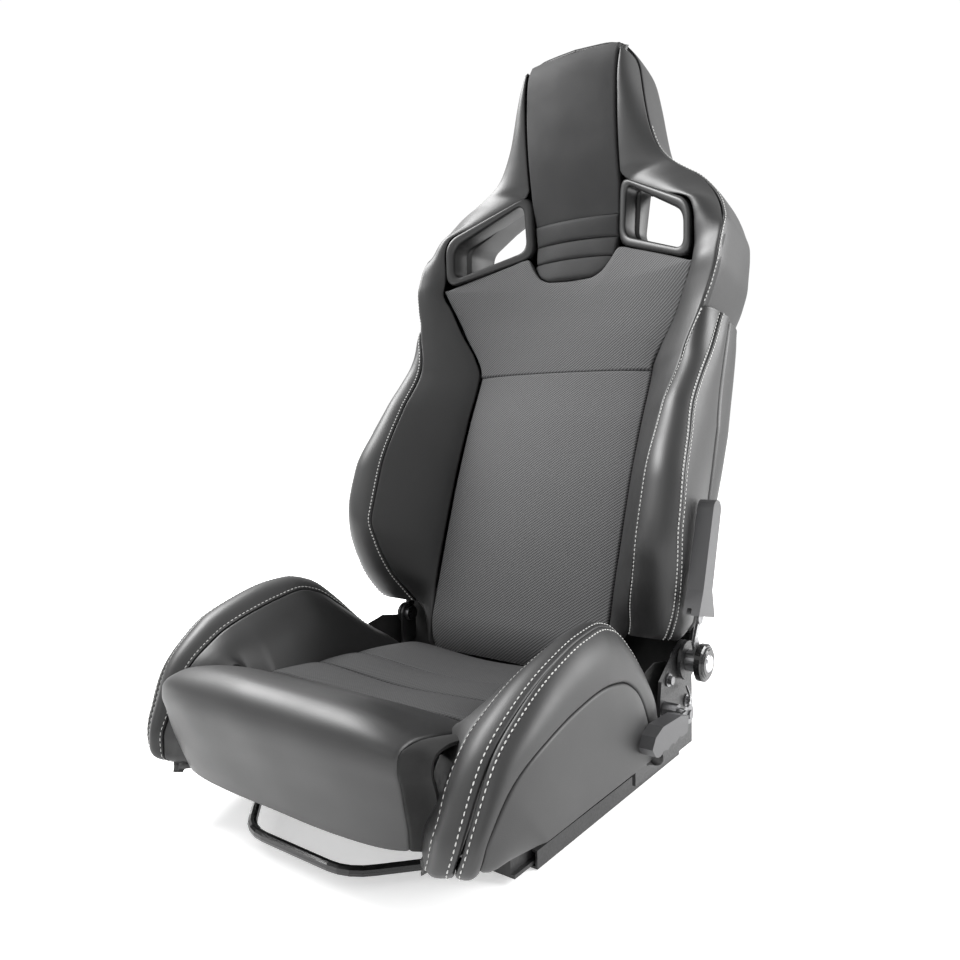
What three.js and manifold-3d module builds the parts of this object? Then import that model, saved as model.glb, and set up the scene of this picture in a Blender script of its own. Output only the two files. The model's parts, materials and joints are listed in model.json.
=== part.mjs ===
// A reclining sports seat: an upholstered bucket on two slide rails, with a high one-piece back,
// two harness openings, a pair of recliners, a recline lever, a tilt lever and a slide handle.
// Millimetres, +X to the occupant's left, +Y to the rear, +Z up. The origin is the middle of the footprint.
import * as THREE from 'three';
import { mergeVertices } from 'three/addons/utils/BufferGeometryUtils.js';
import Module from 'manifold-3d';

const wasm = await Module();
wasm.setup();

// ---------- driving dimensions ----------
const BACK_Y = 165; // foot of the lumbar pad, from which the back is measured
const BACK_Z = 170;
const PIVOT_Y = 190; // recliner axis
const PIVOT_Z = 158;
const RECLINE = THREE.MathUtils.degToRad(18); // how far the back leans at rest
const GAP = 0.4; // air between touching pieces

const RAIL_X = 185; // middle of each slide rail
const RAIL_FRONT = -78;
const RAIL_REAR = 270;
const RAIL_HEIGHT = 20;
const UPPER_RAIL_FRONT = -113;
const UPPER_RAIL_REAR = 225;
const UPPER_RAIL_TOP = 36;
const PAN_Z = 70; // underside of the seat pan
const PAN_THICKNESS = 3;
const CUSHION_BOTTOM = 75;

const PLATE_THICKNESS = 4; // recliner plates and arms
const LEVER_SIDE = 240; // inner face of the recliner plate on the side with the levers
const HINGE_SIDE = 205; // the same on the side with the plain hinge

// ---------- materials ----------
const standard = (color, roughness, metalness = 0) => new THREE.MeshStandardMaterial({ color, roughness, metalness });
const vinyl = standard(0x2e2e30, 0.5);
const weave = standard(0x3a3a3c, 0.9);
const suede = standard(0x2a2a2c, 0.95);
const plastic = standard(0x232325, 0.45);
const blackSteel = standard(0x141415, 0.35, 0.6);
const zincSteel = standard(0xb4b6ba, 0.3, 0.9);

// ---------- helpers ----------
// A smooth, overshoot-free function through [position, value] stations.
function rail(stations) {
  const n = stations.length;
  const step = (i) => (stations[i + 1][1] - stations[i][1]) / (stations[i + 1][0] - stations[i][0]);
  const slope = stations.map((_, i) => {
    if (i === 0) return step(0);
    if (i === n - 1) return step(n - 2);
    const [a, b] = [step(i - 1), step(i)];
    return a * b <= 0 ? 0 : (2 * a * b) / (a + b);
  });
  return (at) => {
    const t = THREE.MathUtils.clamp(at, stations[0][0], stations[n - 1][0]);
    let i = 0;
    while (i < n - 2 && t > stations[i + 1][0]) i += 1;
    const width = stations[i + 1][0] - stations[i][0];
    const s = (t - stations[i][0]) / width;
    const [a, b] = [stations[i][1], stations[i + 1][1]];
    return (
      a * (1 + 2 * s) * (1 - s) ** 2 +
      b * s * s * (3 - 2 * s) +
      width * (slope[i] * s * (1 - s) ** 2 - slope[i + 1] * s * s * (1 - s))
    );
  };
}

// A closed solid between two surfaces over the same unit square. Each surface is (u, v) => [x, y, z].
function slab(front, back, nu, nv) {
  const position = [];
  const index = [];
  const row = nu + 1;
  const layer = row * (nv + 1);
  for (const face of [front, back])
    for (let j = 0; j <= nv; j += 1)
      for (let i = 0; i <= nu; i += 1) position.push(...face(i / nu, j / nv));
  const quad = (a, b, c, d) => index.push(a, b, c, a, c, d);
  for (let j = 0; j < nv; j += 1)
    for (let i = 0; i < nu; i += 1) {
      const a = j * row + i;
      quad(a, a + 1, a + row + 1, a + row);
      quad(layer + a, layer + a + row, layer + a + row + 1, layer + a + 1);
    }
  for (let i = 0; i < nu; i += 1) {
    const top = nv * row + i;
    quad(i, layer + i, layer + i + 1, i + 1);
    quad(top, top + 1, layer + top + 1, layer + top);
  }
  for (let j = 0; j < nv; j += 1) {
    const left = j * row;
    const right = left + nu;
    quad(left, left + row, layer + left + row, layer + left);
    quad(right, layer + right, layer + right + row, right + row);
  }
  const geometry = new THREE.BufferGeometry();
  geometry.setAttribute('position', new THREE.Float32BufferAttribute(position, 3));
  geometry.setIndex(index);
  return outwards(geometry);
}

// Turns the faces round where a profile ran the other way.
function outwards(geometry) {
  const p = geometry.getAttribute('position');
  const id = geometry.getIndex().array;
  const [a, b, c] = [new THREE.Vector3(), new THREE.Vector3(), new THREE.Vector3()];
  let volume = 0;
  for (let i = 0; i < id.length; i += 3) {
    a.fromBufferAttribute(p, id[i]);
    b.fromBufferAttribute(p, id[i + 1]);
    c.fromBufferAttribute(p, id[i + 2]);
    volume += a.dot(b.cross(c));
  }
  if (volume < 0) for (let i = 0; i < id.length; i += 3) [id[i], id[i + 1]] = [id[i + 1], id[i]];
  return geometry;
}

// A flat outline of [y, z] points, with optional round holes [y, z, radius], as a plate from x0 to x0 + thickness.
function sidePlate(points, x0, thickness, holes = []) {
  const shape = new THREE.Shape(points.map(([y, z]) => new THREE.Vector2(y, z)));
  for (const [y, z, radius] of holes) shape.holes.push(new THREE.Path().absarc(y, z, radius, 0, 2 * Math.PI, true));
  const geometry = new THREE.ExtrudeGeometry(shape, { depth: thickness, bevelEnabled: false, curveSegments: 6 });
  const turn = new THREE.Matrix4().makeBasis(
    new THREE.Vector3(0, 1, 0),
    new THREE.Vector3(0, 0, 1),
    new THREE.Vector3(1, 0, 0),
  );
  return geometry.applyMatrix4(turn).translate(x0, 0, 0);
}

// Points round an arc in the side view, from one angle to another, in degrees up from +Y.
const arc = (y, z, radius, from, to, steps = 8) =>
  Array.from({ length: steps + 1 }, (_, i) => {
    const angle = THREE.MathUtils.degToRad(from + ((to - from) * i) / steps);
    return [y + radius * Math.cos(angle), z + radius * Math.sin(angle)];
  });

// A round bar along X.
function crossBar(x0, x1, y, z, radius, sides = 16) {
  const geometry = new THREE.CylinderGeometry(radius, radius, x1 - x0, sides);
  return geometry.rotateZ(Math.PI / 2).translate((x0 + x1) / 2, y, z);
}

// A turned piece on an X axis: profile is [distance along X, radius], starting and ending on the axis.
function turned(profile, y, z, sides = 24) {
  const points = profile.map(([along, radius]) => new THREE.Vector2(radius, along));
  return new THREE.LatheGeometry(points, sides).rotateZ(-Math.PI / 2).translate(0, y, z);
}

// A tube through 3-D points.
function tube(points, radius, sides = 8, steps = 24, tension = 0.5) {
  const path = new THREE.CatmullRomCurve3(points.map((p) => new THREE.Vector3(...p)), false, 'catmullrom', tension);
  const section = new THREE.Shape(
    Array.from({ length: sides }, (_, i) => {
      const angle = (2 * Math.PI * i) / sides;
      return new THREE.Vector2(radius * Math.cos(angle), radius * Math.sin(angle));
    }),
  );
  return new THREE.ExtrudeGeometry(section, { steps, extrudePath: path, bevelEnabled: false });
}

const block = (x0, x1, y0, y1, z0, z1) =>
  new THREE.BoxGeometry(x1 - x0, y1 - y0, z1 - z0).translate((x0 + x1) / 2, (y0 + y1) / 2, (z0 + z1) / 2);

function solidOf(geometry) {
  const bare = new THREE.BufferGeometry();
  bare.setAttribute('position', geometry.getAttribute('position'));
  if (geometry.getIndex()) bare.setIndex(geometry.getIndex());
  const merged = mergeVertices(bare, 1e-3);
  const mesh = new wasm.Mesh({
    numProp: 3,
    vertProperties: new Float32Array(merged.getAttribute('position').array),
    triVerts: new Uint32Array(merged.getIndex().array),
  });
  return new wasm.Manifold(mesh);
}

function geometryOf(solid) {
  const mesh = solid.getMesh();
  const geometry = new THREE.BufferGeometry();
  geometry.setAttribute('position', new THREE.BufferAttribute(new Float32Array(mesh.vertProperties), 3));
  geometry.setIndex(new THREE.BufferAttribute(new Uint32Array(mesh.triVerts), 1));
  return geometry;
}

const cut = (geometry, ...tools) =>
  geometryOf(tools.reduce((solid, tool) => solid.subtract(solidOf(tool)), solidOf(geometry)));
const join = (...geometries) =>
  geometryOf(geometries.map(solidOf).reduce((all, one) => all.add(one)));

const seat = new THREE.Group();
const back = new THREE.Group();
back.position.set(0, BACK_Y, BACK_Z);
back.rotation.x = -RECLINE;
seat.add(back);

function add(group, name, geometry, material) {
  const mesh = new THREE.Mesh(geometry, material);
  mesh.name = name;
  group.add(mesh);
  return mesh;
}

// The geometry is drawn for the +X side, and its mirror image serves the other.
function addPair(group, name, geometry, material) {
  add(group, `${name}_left`, geometry, material);
  add(group, `${name}_right`, geometry, material).scale.x = -1;
}

const mix = THREE.MathUtils.lerp;

// ---------- slide rails ----------
function lowerRail() {
  const half = 18;
  const wall = 2.5;
  const lip = 6;
  const outline = [
    [-half, 0], [half, 0], [half, RAIL_HEIGHT], [half - lip, RAIL_HEIGHT], [half - lip, RAIL_HEIGHT - wall],
    [half - wall, RAIL_HEIGHT - wall], [half - wall, wall], [wall - half, wall],
    [wall - half, RAIL_HEIGHT - wall], [lip - half, RAIL_HEIGHT - wall], [lip - half, RAIL_HEIGHT], [-half, RAIL_HEIGHT],
  ];
  return runner(outline, RAIL_FRONT, RAIL_REAR);
}

// The upper rail is a foot inside the lower one, with a web rising through its slot to a top flange.
function upperRail() {
  const foot = 14;
  const web = 9;
  const outline = [
    [-foot, 5], [foot, 5], [foot, 9], [web, 9], [web, UPPER_RAIL_TOP], [-web, UPPER_RAIL_TOP], [-web, 9], [-foot, 9],
  ];
  return runner(outline, UPPER_RAIL_FRONT, UPPER_RAIL_REAR);
}

// An [x, z] section about the rail's middle, run from one y to another.
function runner(outline, y0, y1) {
  const shape = new THREE.Shape(outline.map(([x, z]) => new THREE.Vector2(x, z)));
  const geometry = new THREE.ExtrudeGeometry(shape, { depth: y1 - y0, bevelEnabled: false });
  return geometry.rotateX(Math.PI / 2).translate(RAIL_X, y1, 0);
}

addPair(seat, 'lower_rail', lowerRail(), blackSteel);
addPair(seat, 'upper_rail', upperRail(), blackSteel);

// ---------- seat frame ----------
function sideBracket() {
  const top = PAN_Z - GAP;
  const outline = [
    [-95, UPPER_RAIL_TOP + GAP], [205, UPPER_RAIL_TOP + GAP], [205, 45], [150, 45],
    [146, top], [-70, top], [-95, 50],
  ];
  return sidePlate(outline, RAIL_X - 4, 8, [[-60, 52, 5], [0, 54, 8], [70, 54, 8]]);
}

const REAR_MEMBER = { y0: 152, y1: 188, z0: 46, z1: PAN_Z - GAP };
add(seat, 'seat_pan', block(-205, 205, -205, 148, PAN_Z, PAN_Z + PAN_THICKNESS), blackSteel);
addPair(seat, 'side_bracket', sideBracket(), blackSteel);
add(seat, 'rear_cross_member',
  block(GAP - HINGE_SIDE, LEVER_SIDE - GAP, REAR_MEMBER.y0, REAR_MEMBER.y1, REAR_MEMBER.z0, REAR_MEMBER.z1), blackSteel);

// ---------- cushion ----------
// The middle of the cushion in side view, and its half-width.
const cushionTop = rail([[-268, 160], [-258, 184], [-235, 199], [-205, 196], [-120, 160], [-45, 152], [25, 147], [142, 134]]);
const ROLL_REAR = -120;
const INSERT_SEAMS = [ROLL_REAR, -45, 25, 142];
const INSERT_HALF = 152;

// One padded section of the insert, from one seam to the next, crowned between them.
function insertSection(y0, y1) {
  const crown = 9;
  const top = (u, v) => {
    const y = mix(y0 + GAP / 2, y1 - GAP / 2, v);
    const x = mix(-INSERT_HALF, INSERT_HALF, u);
    const swell = crown * Math.sin(Math.PI * v) * (1 - (x / INSERT_HALF) ** 4);
    return [x, y, cushionTop(y) + swell];
  };
  const bottom = (u, v) => {
    const [x, y] = top(u, v);
    return [x, y, CUSHION_BOTTOM];
  };
  return slab(top, bottom, 6, 4);
}

// The front roll: the side view runs up the front face, over the nose and down to the first insert seam.
const rollPath = new THREE.CatmullRomCurve3([
  [0, -246, 76], [0, -256, 110], [0, -266, 150], [0, -264, 178], [0, -240, 198],
  [0, -205, 195], [0, -160, 176], [0, ROLL_REAR - GAP, 160],
].map((p) => new THREE.Vector3(...p)));

function thighRoll() {
  const half = 176;
  const outer = (u, v) => {
    const p = rollPath.getPointAt(v);
    const x = mix(-half, half, u);
    const droop = 14 * (Math.abs(x) / half) ** 6; // the ends round down towards the bolsters
    const z = p.z - droop * Math.min(1, v * 3);
    return [x, p.y + droop * (1 - v), Math.max(z, CUSHION_BOTTOM + 1)];
  };
  const inner = (u, v) => [mix(-half, half, u), mix(-215, ROLL_REAR - GAP, v), CUSHION_BOTTOM];
  return slab(outer, inner, 10, 14);
}

const sectionNames = ['front', 'middle', 'rear'];
add(seat, 'thigh_roll', thighRoll(), vinyl);
sectionNames.forEach((name, i) =>
  add(seat, `seat_insert_${name}`, insertSection(INSERT_SEAMS[i], INSERT_SEAMS[i + 1]), weave));

// The cushion bolster is an arch in side view. Its inner and outer faces are the same arch, drawn in.
const archPoints = [
  [-246, CUSHION_BOTTOM], [-257, 112], [-250, 148], [-228, 180], [-188, 209], [-137, 233], [-84, 249],
  [-40, 252], [2, 240], [50, 206], [96, 168], [132, 128], [140, CUSHION_BOTTOM],
];
const arch = new THREE.SplineCurve(archPoints.map(([y, z]) => new THREE.Vector2(y, z)));
// Across the bolster: x, how much of the arch's length and height is left, and how far its tail moves forward.
const BOLSTER_ACROSS = [
  { x: 177, length: 0.86, height: 0.44, tail: 0 },
  { x: 190, length: 0.93, height: 0.68, tail: 0 },
  { x: 208, length: 0.98, height: 0.93, tail: 0 },
  { x: 225, length: 1, height: 1, tail: 8 },
  { x: 243, length: 0.99, height: 0.975, tail: 24 },
  { x: 257, length: 0.97, height: 0.9, tail: 46 },
];
const SKIRT_ACROSS = [
  { x: 257.4, length: 0.97, height: 0.9, tail: 46 },
  { x: 264, length: 0.93, height: 0.78, tail: 56 },
  { x: 268, length: 0.87, height: 0.62, tail: 60 },
];
const ARCH_MIDDLE_Y = -60;

function archAt(v, { x, length, height, tail }) {
  const p = arch.getPointAt(v);
  const y = ARCH_MIDDLE_Y + (p.x - ARCH_MIDDLE_Y) * length - (p.x > 0 ? (tail * p.x) / 140 : 0);
  return [x, y, CUSHION_BOTTOM + (p.y - CUSHION_BOTTOM) * height];
}

// A solid of arches side by side, closed by a flat underside and flat ends.
function archSolid(across, steps) {
  const n = across.length - 1;
  const outer = (u, v) => archAt(v, across[Math.round(u * n)]);
  const inner = (u, v) => {
    const [x, y] = outer(u, v);
    const [, y0] = outer(u, 0);
    const [, y1] = outer(u, 1);
    return [x, THREE.MathUtils.clamp(y, Math.min(y0, y1) + 2, Math.max(y0, y1) - 2), CUSHION_BOTTOM - 1];
  };
  return slab(outer, inner, n, steps);
}

addPair(seat, 'seat_bolster', archSolid(BOLSTER_ACROSS, 20), vinyl);
addPair(seat, 'seat_skirt', archSolid(SKIRT_ACROSS, 16), vinyl);

// ---------- backrest surfaces, in the back's own frame: y rearwards from the pivot, z up the back ----------
const centreFront = rail([
  [0, 10], [100, 11], [200, 14], [295, 21], [375, 30], [450, 27], [517, 21], [572, 19],
  [608, 7], [645, -11], [700, -38], [760, -60], [815, -71], [835, -68], [846, -55],
]);
const insertHalf = rail([[0, 145], [375, 146], [440, 178], [505, 209]]);
const insertEdge = rail([[0, 8], [100, 9], [200, 12], [295, 20], [375, 30], [440, 8], [505, -24]]);
const seamX = rail([
  [0, 165], [25, 183], [50, 194], [85, 205], [125, 212], [295, 212], [375, 217], [440, 236], [500, 252],
  [540, 252], [570, 243], [600, 228], [631, 200], [650, 172], [668, 150], [690, 133], [720, 121], [770, 108],
  [810, 98], [832, 86], [846, 66],
]);
const seamY = rail([
  [0, 22], [25, -8], [50, -40], [85, -67], [125, -86], [195, -85], [295, -62], [375, -33], [440, -36], [500, -48],
  [540, -42], [570, -26], [600, -18], [668, -15], [720, -20], [770, -27], [846, -28],
]);
const edgeX = rail([
  [0, 205], [20, 239], [60, 259], [105, 267], [150, 268], [195, 266], [252, 259], [302, 252], [345, 250], [425, 249],
]);
const edgeY = rail([
  [0, 26], [20, -12], [60, -45], [105, -70], [150, -82], [195, -83], [252, -69], [302, -55], [345, -36], [393, -13],
  [425, -4],
]);
const rearLower = rail([[0, 56], [60, 68], [165, 78], [280, 100], [350, 110], [405, 103], [440, 86]]);
const rearUpper = rail([[440, 84], [500, 74], [567, 67], [600, 61], [650, 53], [700, 46], [770, 34], [825, 14], [846, -6]]);

const YOKE_BOTTOM = 375;
const HEAD_TOP = 846;
const SHELL_TOP = 438;
const HEAD_HALF = 76; // half-width of the head's middle panel

// ---------- backrest pads ----------
function lumbarPad() {
  const bottom = -36; // behind the seat insert, where the pad curls rearwards
  const front = (u, v) => {
    const z = mix(bottom, YOKE_BOTTOM - GAP, v);
    const x = mix(-1, 1, u) * (insertHalf(z) - 1);
    const crown = 9 * (1 - (x / 145) ** 2);
    const curl = 0.008 * Math.max(0, 10 - z) ** 2;
    return [x, mix(centreFront(z), insertEdge(z), (x / 145) ** 2) - crown + curl, z];
  };
  const rear = (u, v) => {
    const [x, , z] = front(u, v);
    return [x, 46, z];
  };
  return slab(front, rear, 8, 10);
}

// Where the yoke stops: under the head's lobe in the middle, under the harness openings outside it.
const yokeTop = rail([[0, 514], [30, 514], [52, 524], [78, 552], [104, 546], [204, 504], [209, 501]]);

function yokePad() {
  const front = (u, v) => {
    const s = mix(-1, 1, u);
    const z = mix(YOKE_BOTTOM, yokeTop(Math.abs(s) * 209), v);
    const x = s * (insertHalf(mix(YOKE_BOTTOM, 501, v)) - 2);
    const side = Math.min(1, Math.abs(x) / 209) ** 2;
    return [x, mix(centreFront(z), insertEdge(Math.min(z, 505)), side) - 6 * (1 - side), z];
  };
  const rear = (u, v) => {
    const [x, , z] = front(u, v);
    return [x, mix(46, 40, v), z];
  };
  return slab(front, rear, 16, 6);
}

// The head's middle panel above, and below it three sewn bands, the lowest rounded like a tongue.
const HEAD_SEAMS = [524, 550, 578, 607, HEAD_TOP];
const headHalf = rail([[520, 46], [532, 60], [552, 68], [580, 71], [607, 71], [650, 75], [HEAD_TOP, 75]]);

function headSection(z0, z1, steps) {
  const front = (u, v) => {
    const z = mix(z0 + GAP / 2, z1 - GAP / 2, v);
    const x = mix(-1, 1, u) * (headHalf(z) - 1);
    return [x, centreFront(z) - 5 * Math.sin(Math.PI * v) * (1 - (x / HEAD_HALF) ** 2), z];
  };
  const rear = (u, v) => {
    const [x, , z] = front(u, v);
    return [x, Math.min(30, mix(30, -20, (z - 640) / 150), rearUpper(z) - 12), z];
  };
  return slab(front, rear, 6, steps);
}

// Beside the head's middle panel, down to the shoulder.
function headSide() {
  const bottom = 662;
  const front = (u, v) => {
    const z = mix(bottom, HEAD_TOP, v);
    const outer = seamX(z);
    const x = mix(HEAD_HALF - 0.5, outer, u);
    return [x, mix(centreFront(z), seamY(z), u ** 2.2), z];
  };
  const rear = (u, v) => {
    const [x, , z] = front(u, v);
    const y = Math.min(mix(16, -18, (z - bottom) / 150), rearUpper(z) - 14);
    return [x, Math.max(mix(y, seamY(z) + 8, u ** 3), seamY(z) + 6), z];
  };
  return slab(front, rear, 4, 10);
}

// The plane of the front harness bezel: y falls as x and z rise.
const BEZEL = { x: 140, z: 575, slopeX: -0.44, slopeZ: -0.32, y: -11 };
const bezelY = (x, z) => BEZEL.y + BEZEL.slopeX * (x - BEZEL.x) + BEZEL.slopeZ * (z - BEZEL.z);
const BEZEL_CORNERS = [[79, 647], [74, 566], [204, 511], [204, 579]]; // inner top, inner bottom, outer bottom, outer top

// Over the bezel, from its top edge to the shoulder's outline.
function shoulderTop() {
  const front = (u, v) => {
    const inner = [mix(80, 204, v), mix(652, 584, v)];
    const z1 = mix(661, 572, v);
    const outer = [seamX(z1), z1];
    const x = mix(inner[0], outer[0], u);
    const z = mix(inner[1], outer[1], u);
    return [x, mix(Math.max(bezelY(...inner), -34), seamY(z1), u ** 1.5), z];
  };
  const rear = (u, v) => {
    const [x, y, z] = front(u, v);
    return [x, Math.max(y + 12, mix(16, -6, v)), z];
  };
  return slab(front, rear, 4, 6);
}

// Beside the bezel, and down the inside of the shoulder to the bolster.
function shoulderSide() {
  const front = (u, v) => {
    const z = mix(442, 571, v);
    const inner = Math.min(207, insertHalf(z)) + 3;
    const y = z < 505 ? insertEdge(z) : mix(insertEdge(505), bezelY(207, 570), (z - 505) / 66);
    return [mix(inner, seamX(z) - 1.5, u), mix(y, seamY(z), u), z];
  };
  const rear = (u, v) => {
    const [x, , z] = front(u, v);
    return [x, 24, z];
  };
  return slab(front, rear, 3, 6);
}

// The shoulder's outer wrap, from the stitched seam round to the rear cover.
function shoulderWrap() {
  const loop = (u, v, thickness) => {
    const z = mix(442, 606, v);
    const bulge = thickness * (0.35 + Math.sin(Math.PI * u));
    return [seamX(z) + 1 + bulge, mix(seamY(z) + 1, rearUpper(z) - 7, u), z];
  };
  return slab((u, v) => loop(u, v, 12), (u, v) => loop(u, v, 0), 5, 7);
}

// The bolster: from the insert's edge up the inner face, over the band and down the outer face.
function backBolster() {
  const outer = (u, v) => {
    const z = mix(14, 438, v);
    const [x1, y1, x2, y2] = [seamX(z), seamY(z), edgeX(z), edgeY(z)];
    const reach = Math.hypot(x2 - x1, y2 - y1);
    const section = [
      [insertHalf(Math.min(z, 375)) + (z > 375 ? insertHalf(z) - 146 : 0) + 1, insertEdge(z)],
      [mix(insertHalf(z), x1, 0.55), mix(insertEdge(z), y1, 0.62)],
      [x1, y1],
      [(x1 + x2) / 2, (y1 + y2) / 2 - reach * 0.3],
      [x2, y2],
      [(x2 + Math.min(x2, 251)) / 2 + 2, mix(y2, 24, 0.5)],
      [Math.min(x2, 251), 24],
    ];
    return [...section[Math.round(u * 6)], z];
  };
  const inner = (u, v) => {
    const [first, , z] = outer(0, v);
    const x = mix(first, outer(1, v)[0] - 1, u);
    return [x, x < 170 ? 44 : 28, z];
  };
  return slab(outer, inner, 6, 14);
}

add(back, 'lumbar_pad', lumbarPad(), weave);
add(back, 'yoke_pad', yokePad(), weave);
['lower', 'middle', 'upper'].forEach((name, i) =>
  add(back, `head_band_${name}`, headSection(HEAD_SEAMS[i], HEAD_SEAMS[i + 1], 2), suede));
add(back, 'head_pad', headSection(HEAD_SEAMS[3], HEAD_SEAMS[4], 10), suede);
addPair(back, 'head_side', headSide(), vinyl);
addPair(back, 'shoulder_top', shoulderTop(), vinyl);
addPair(back, 'shoulder_side', shoulderSide(), vinyl);
addPair(back, 'shoulder_wrap', shoulderWrap(), vinyl);
addPair(back, 'back_bolster', backBolster(), vinyl);

// ---------- rear covers ----------
const COVER = 4;

// A thin cover behind the back: a rounded box in plan, open to the front.
function rearCover({ z0, z1, half, rear, edge, square, columns, rows }) {
  const section = (u, v, skin) => {
    const angle = (u - 0.5) * Math.PI;
    const z = mix(z0, z1, v);
    const across = Math.sign(angle) * Math.abs(Math.sin(angle)) ** (2 / square);
    const depth = Math.max(0, Math.cos(angle)) ** (2 / square);
    return [across * (half(z) - skin), mix(edge(z), rear(z) - skin, depth), z];
  };
  return slab((u, v) => section(u, v, 0), (u, v) => section(u, v, COVER), columns, rows);
}

const backCover = rearCover({
  z0: 46, z1: SHELL_TOP, half: rail([[0, 256], [60, 259], [200, 259], [330, 256], [SHELL_TOP, 251]]),
  rear: rearLower, edge: () => 33, square: 5, columns: 16, rows: 12,
});
const upperEdge = rail([[442, 66], [600, 48], [650, 32], [672, 14], [700, 4], [HEAD_TOP, -18]]);
const upperCover = rearCover({
  z0: 442, z1: HEAD_TOP - 2, half: (z) => seamX(z) - 3, rear: rearUpper, edge: upperEdge, square: 3.5, columns: 16, rows: 14,
});

// ---------- harness openings ----------
// The corners of an opening, drawn in by a margin.
function openingShape(margin, radius) {
  const centre = [140, 576];
  const corners = BEZEL_CORNERS.map(([x, z]) => {
    const [dx, dz] = [x - centre[0], z - centre[1]];
    return new THREE.Vector2(x - Math.sign(dx) * margin, z - Math.sign(dz) * margin * (dx * dz > 0 ? 0.75 : 1.25));
  });
  const shape = new THREE.Shape();
  corners.forEach((corner, i) => {
    const before = corners[(i + 3) % 4];
    const after = corners[(i + 1) % 4];
    const enter = corner.clone().lerp(before, radius / corner.distanceTo(before));
    const leave = corner.clone().lerp(after, radius / corner.distanceTo(after));
    if (i === 0) shape.moveTo(enter.x, enter.y);
    else shape.lineTo(enter.x, enter.y);
    shape.quadraticCurveTo(corner.x, corner.y, leave.x, leave.y);
  });
  shape.closePath();
  return shape;
}

// An [x, z] shape at the bezel, run rearwards between two surfaces y(x, z). It rises on the way,
// so that the duct is close to level when the back leans at its rest angle.
const DUCT_RISE = Math.tan(THREE.MathUtils.degToRad(14));
function through(shape, front, rear) {
  const geometry = new THREE.ExtrudeGeometry(shape, { depth: 1, bevelEnabled: false, curveSegments: 4 });
  const bare = new THREE.BufferGeometry().setAttribute('position', geometry.getAttribute('position'));
  const p = bare.getAttribute('position');
  for (let i = 0; i < p.count; i += 1) {
    const [x, z, t] = [p.getX(i), p.getY(i), p.getZ(i)];
    const surface = t < 0.5 ? front : rear;
    let height = z;
    for (let k = 0; k < 6; k += 1) height = z + DUCT_RISE * (surface(x, height) - bezelY(x, z));
    p.setXYZ(i, x, surface(x, height), height);
  }
  return outwards(mergeVertices(bare, 1e-4));
}

const RING = 12;
const DUCT_WALL = 2.5;
const before = (distance) => (x, z) => bezelY(x, z) - distance;
const behind = (distance) => (x, z) => rearUpper(z) + distance;

function harnessBezel() {
  const ring = through(openingShape(0, 18), before(3), before(-4));
  const duct = through(openingShape(RING - DUCT_WALL, 12), before(-2), behind(-0.5));
  const hole = through(openingShape(RING, 11), before(20), behind(20));
  return cut(join(ring, duct), hole);
}

function harnessRearBezel() {
  const ring = through(openingShape(2, 16), behind(GAP), behind(5));
  const hole = through(openingShape(RING - DUCT_WALL - 1, 12), behind(-20), behind(20));
  return cut(ring, hole);
}

const slotTool = through(openingShape(RING - DUCT_WALL - 1, 12), () => -80, () => 120);
const mirrored = slotTool.clone().scale(-1, 1, 1);
outwards(mirrored);

add(back, 'back_cover', backCover, vinyl);
add(back, 'shoulder_cover', cut(upperCover, slotTool, mirrored), vinyl);
addPair(back, 'harness_bezel', harnessBezel(), plastic);
addPair(back, 'harness_rear_bezel', harnessRearBezel(), plastic);

// ---------- back frame and recliners ----------
const BOLT_R = 7;
const BORE_R = BOLT_R + GAP;
const ARM_GAP = 2.4; // between a plate and its arm

// The recliner axis in the back's own frame.
const pivotInBack = new THREE.Vector3(0, PIVOT_Y - BACK_Y, PIVOT_Z - BACK_Z)
  .applyAxisAngle(new THREE.Vector3(1, 0, 0), RECLINE);
const [AXIS_Y, AXIS_Z] = [pivotInBack.y, pivotInBack.z];

// The arm rises from the recliner up the back, behind the bolster.
function backArm(x0, eye) {
  const outline = [...arc(AXIS_Y, AXIS_Z, eye, 80, 375, 16), [47, 66], [49, 130], [52, 322], [33, 322], [33, 32]];
  return sidePlate(outline, x0, PLATE_THICKNESS, [[AXIS_Y, AXIS_Z, BORE_R]]);
}

function leverSidePlate() {
  const top = arc(PIVOT_Y, PIVOT_Z, 24, -10, 130, 12);
  const outline = [[60, 46], [216, 46], [216, 118], ...top, [128, 146], [124, 120], [124, 73.4], [60, 73.4]];
  return sidePlate(outline, LEVER_SIDE, PLATE_THICKNESS, [[PIVOT_Y, PIVOT_Z, BORE_R]]);
}

function hingeSidePlate() {
  const top = arc(PIVOT_Y, PIVOT_Z, 15, -10, 190, 12);
  const outline = [[165, 46], [216, 46], [205, 118], ...top, [175, 118], [165, 73.4]];
  return sidePlate(outline, -HINGE_SIDE - PLATE_THICKNESS, PLATE_THICKNESS, [[PIVOT_Y, PIVOT_Z, BORE_R]]);
}

const leverArmX = LEVER_SIDE + PLATE_THICKNESS + ARM_GAP;
const hingeArmX = -(HINGE_SIDE + PLATE_THICKNESS + ARM_GAP + PLATE_THICKNESS);
const shoulderX = leverArmX + PLATE_THICKNESS + GAP; // where the bolt widens
const TILT_PLATE = { x: 263, thickness: 3, jog: 13 };
const KNOB = { x: TILT_PLATE.x + TILT_PLATE.thickness + GAP, length: 11, radius: 23 };

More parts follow.
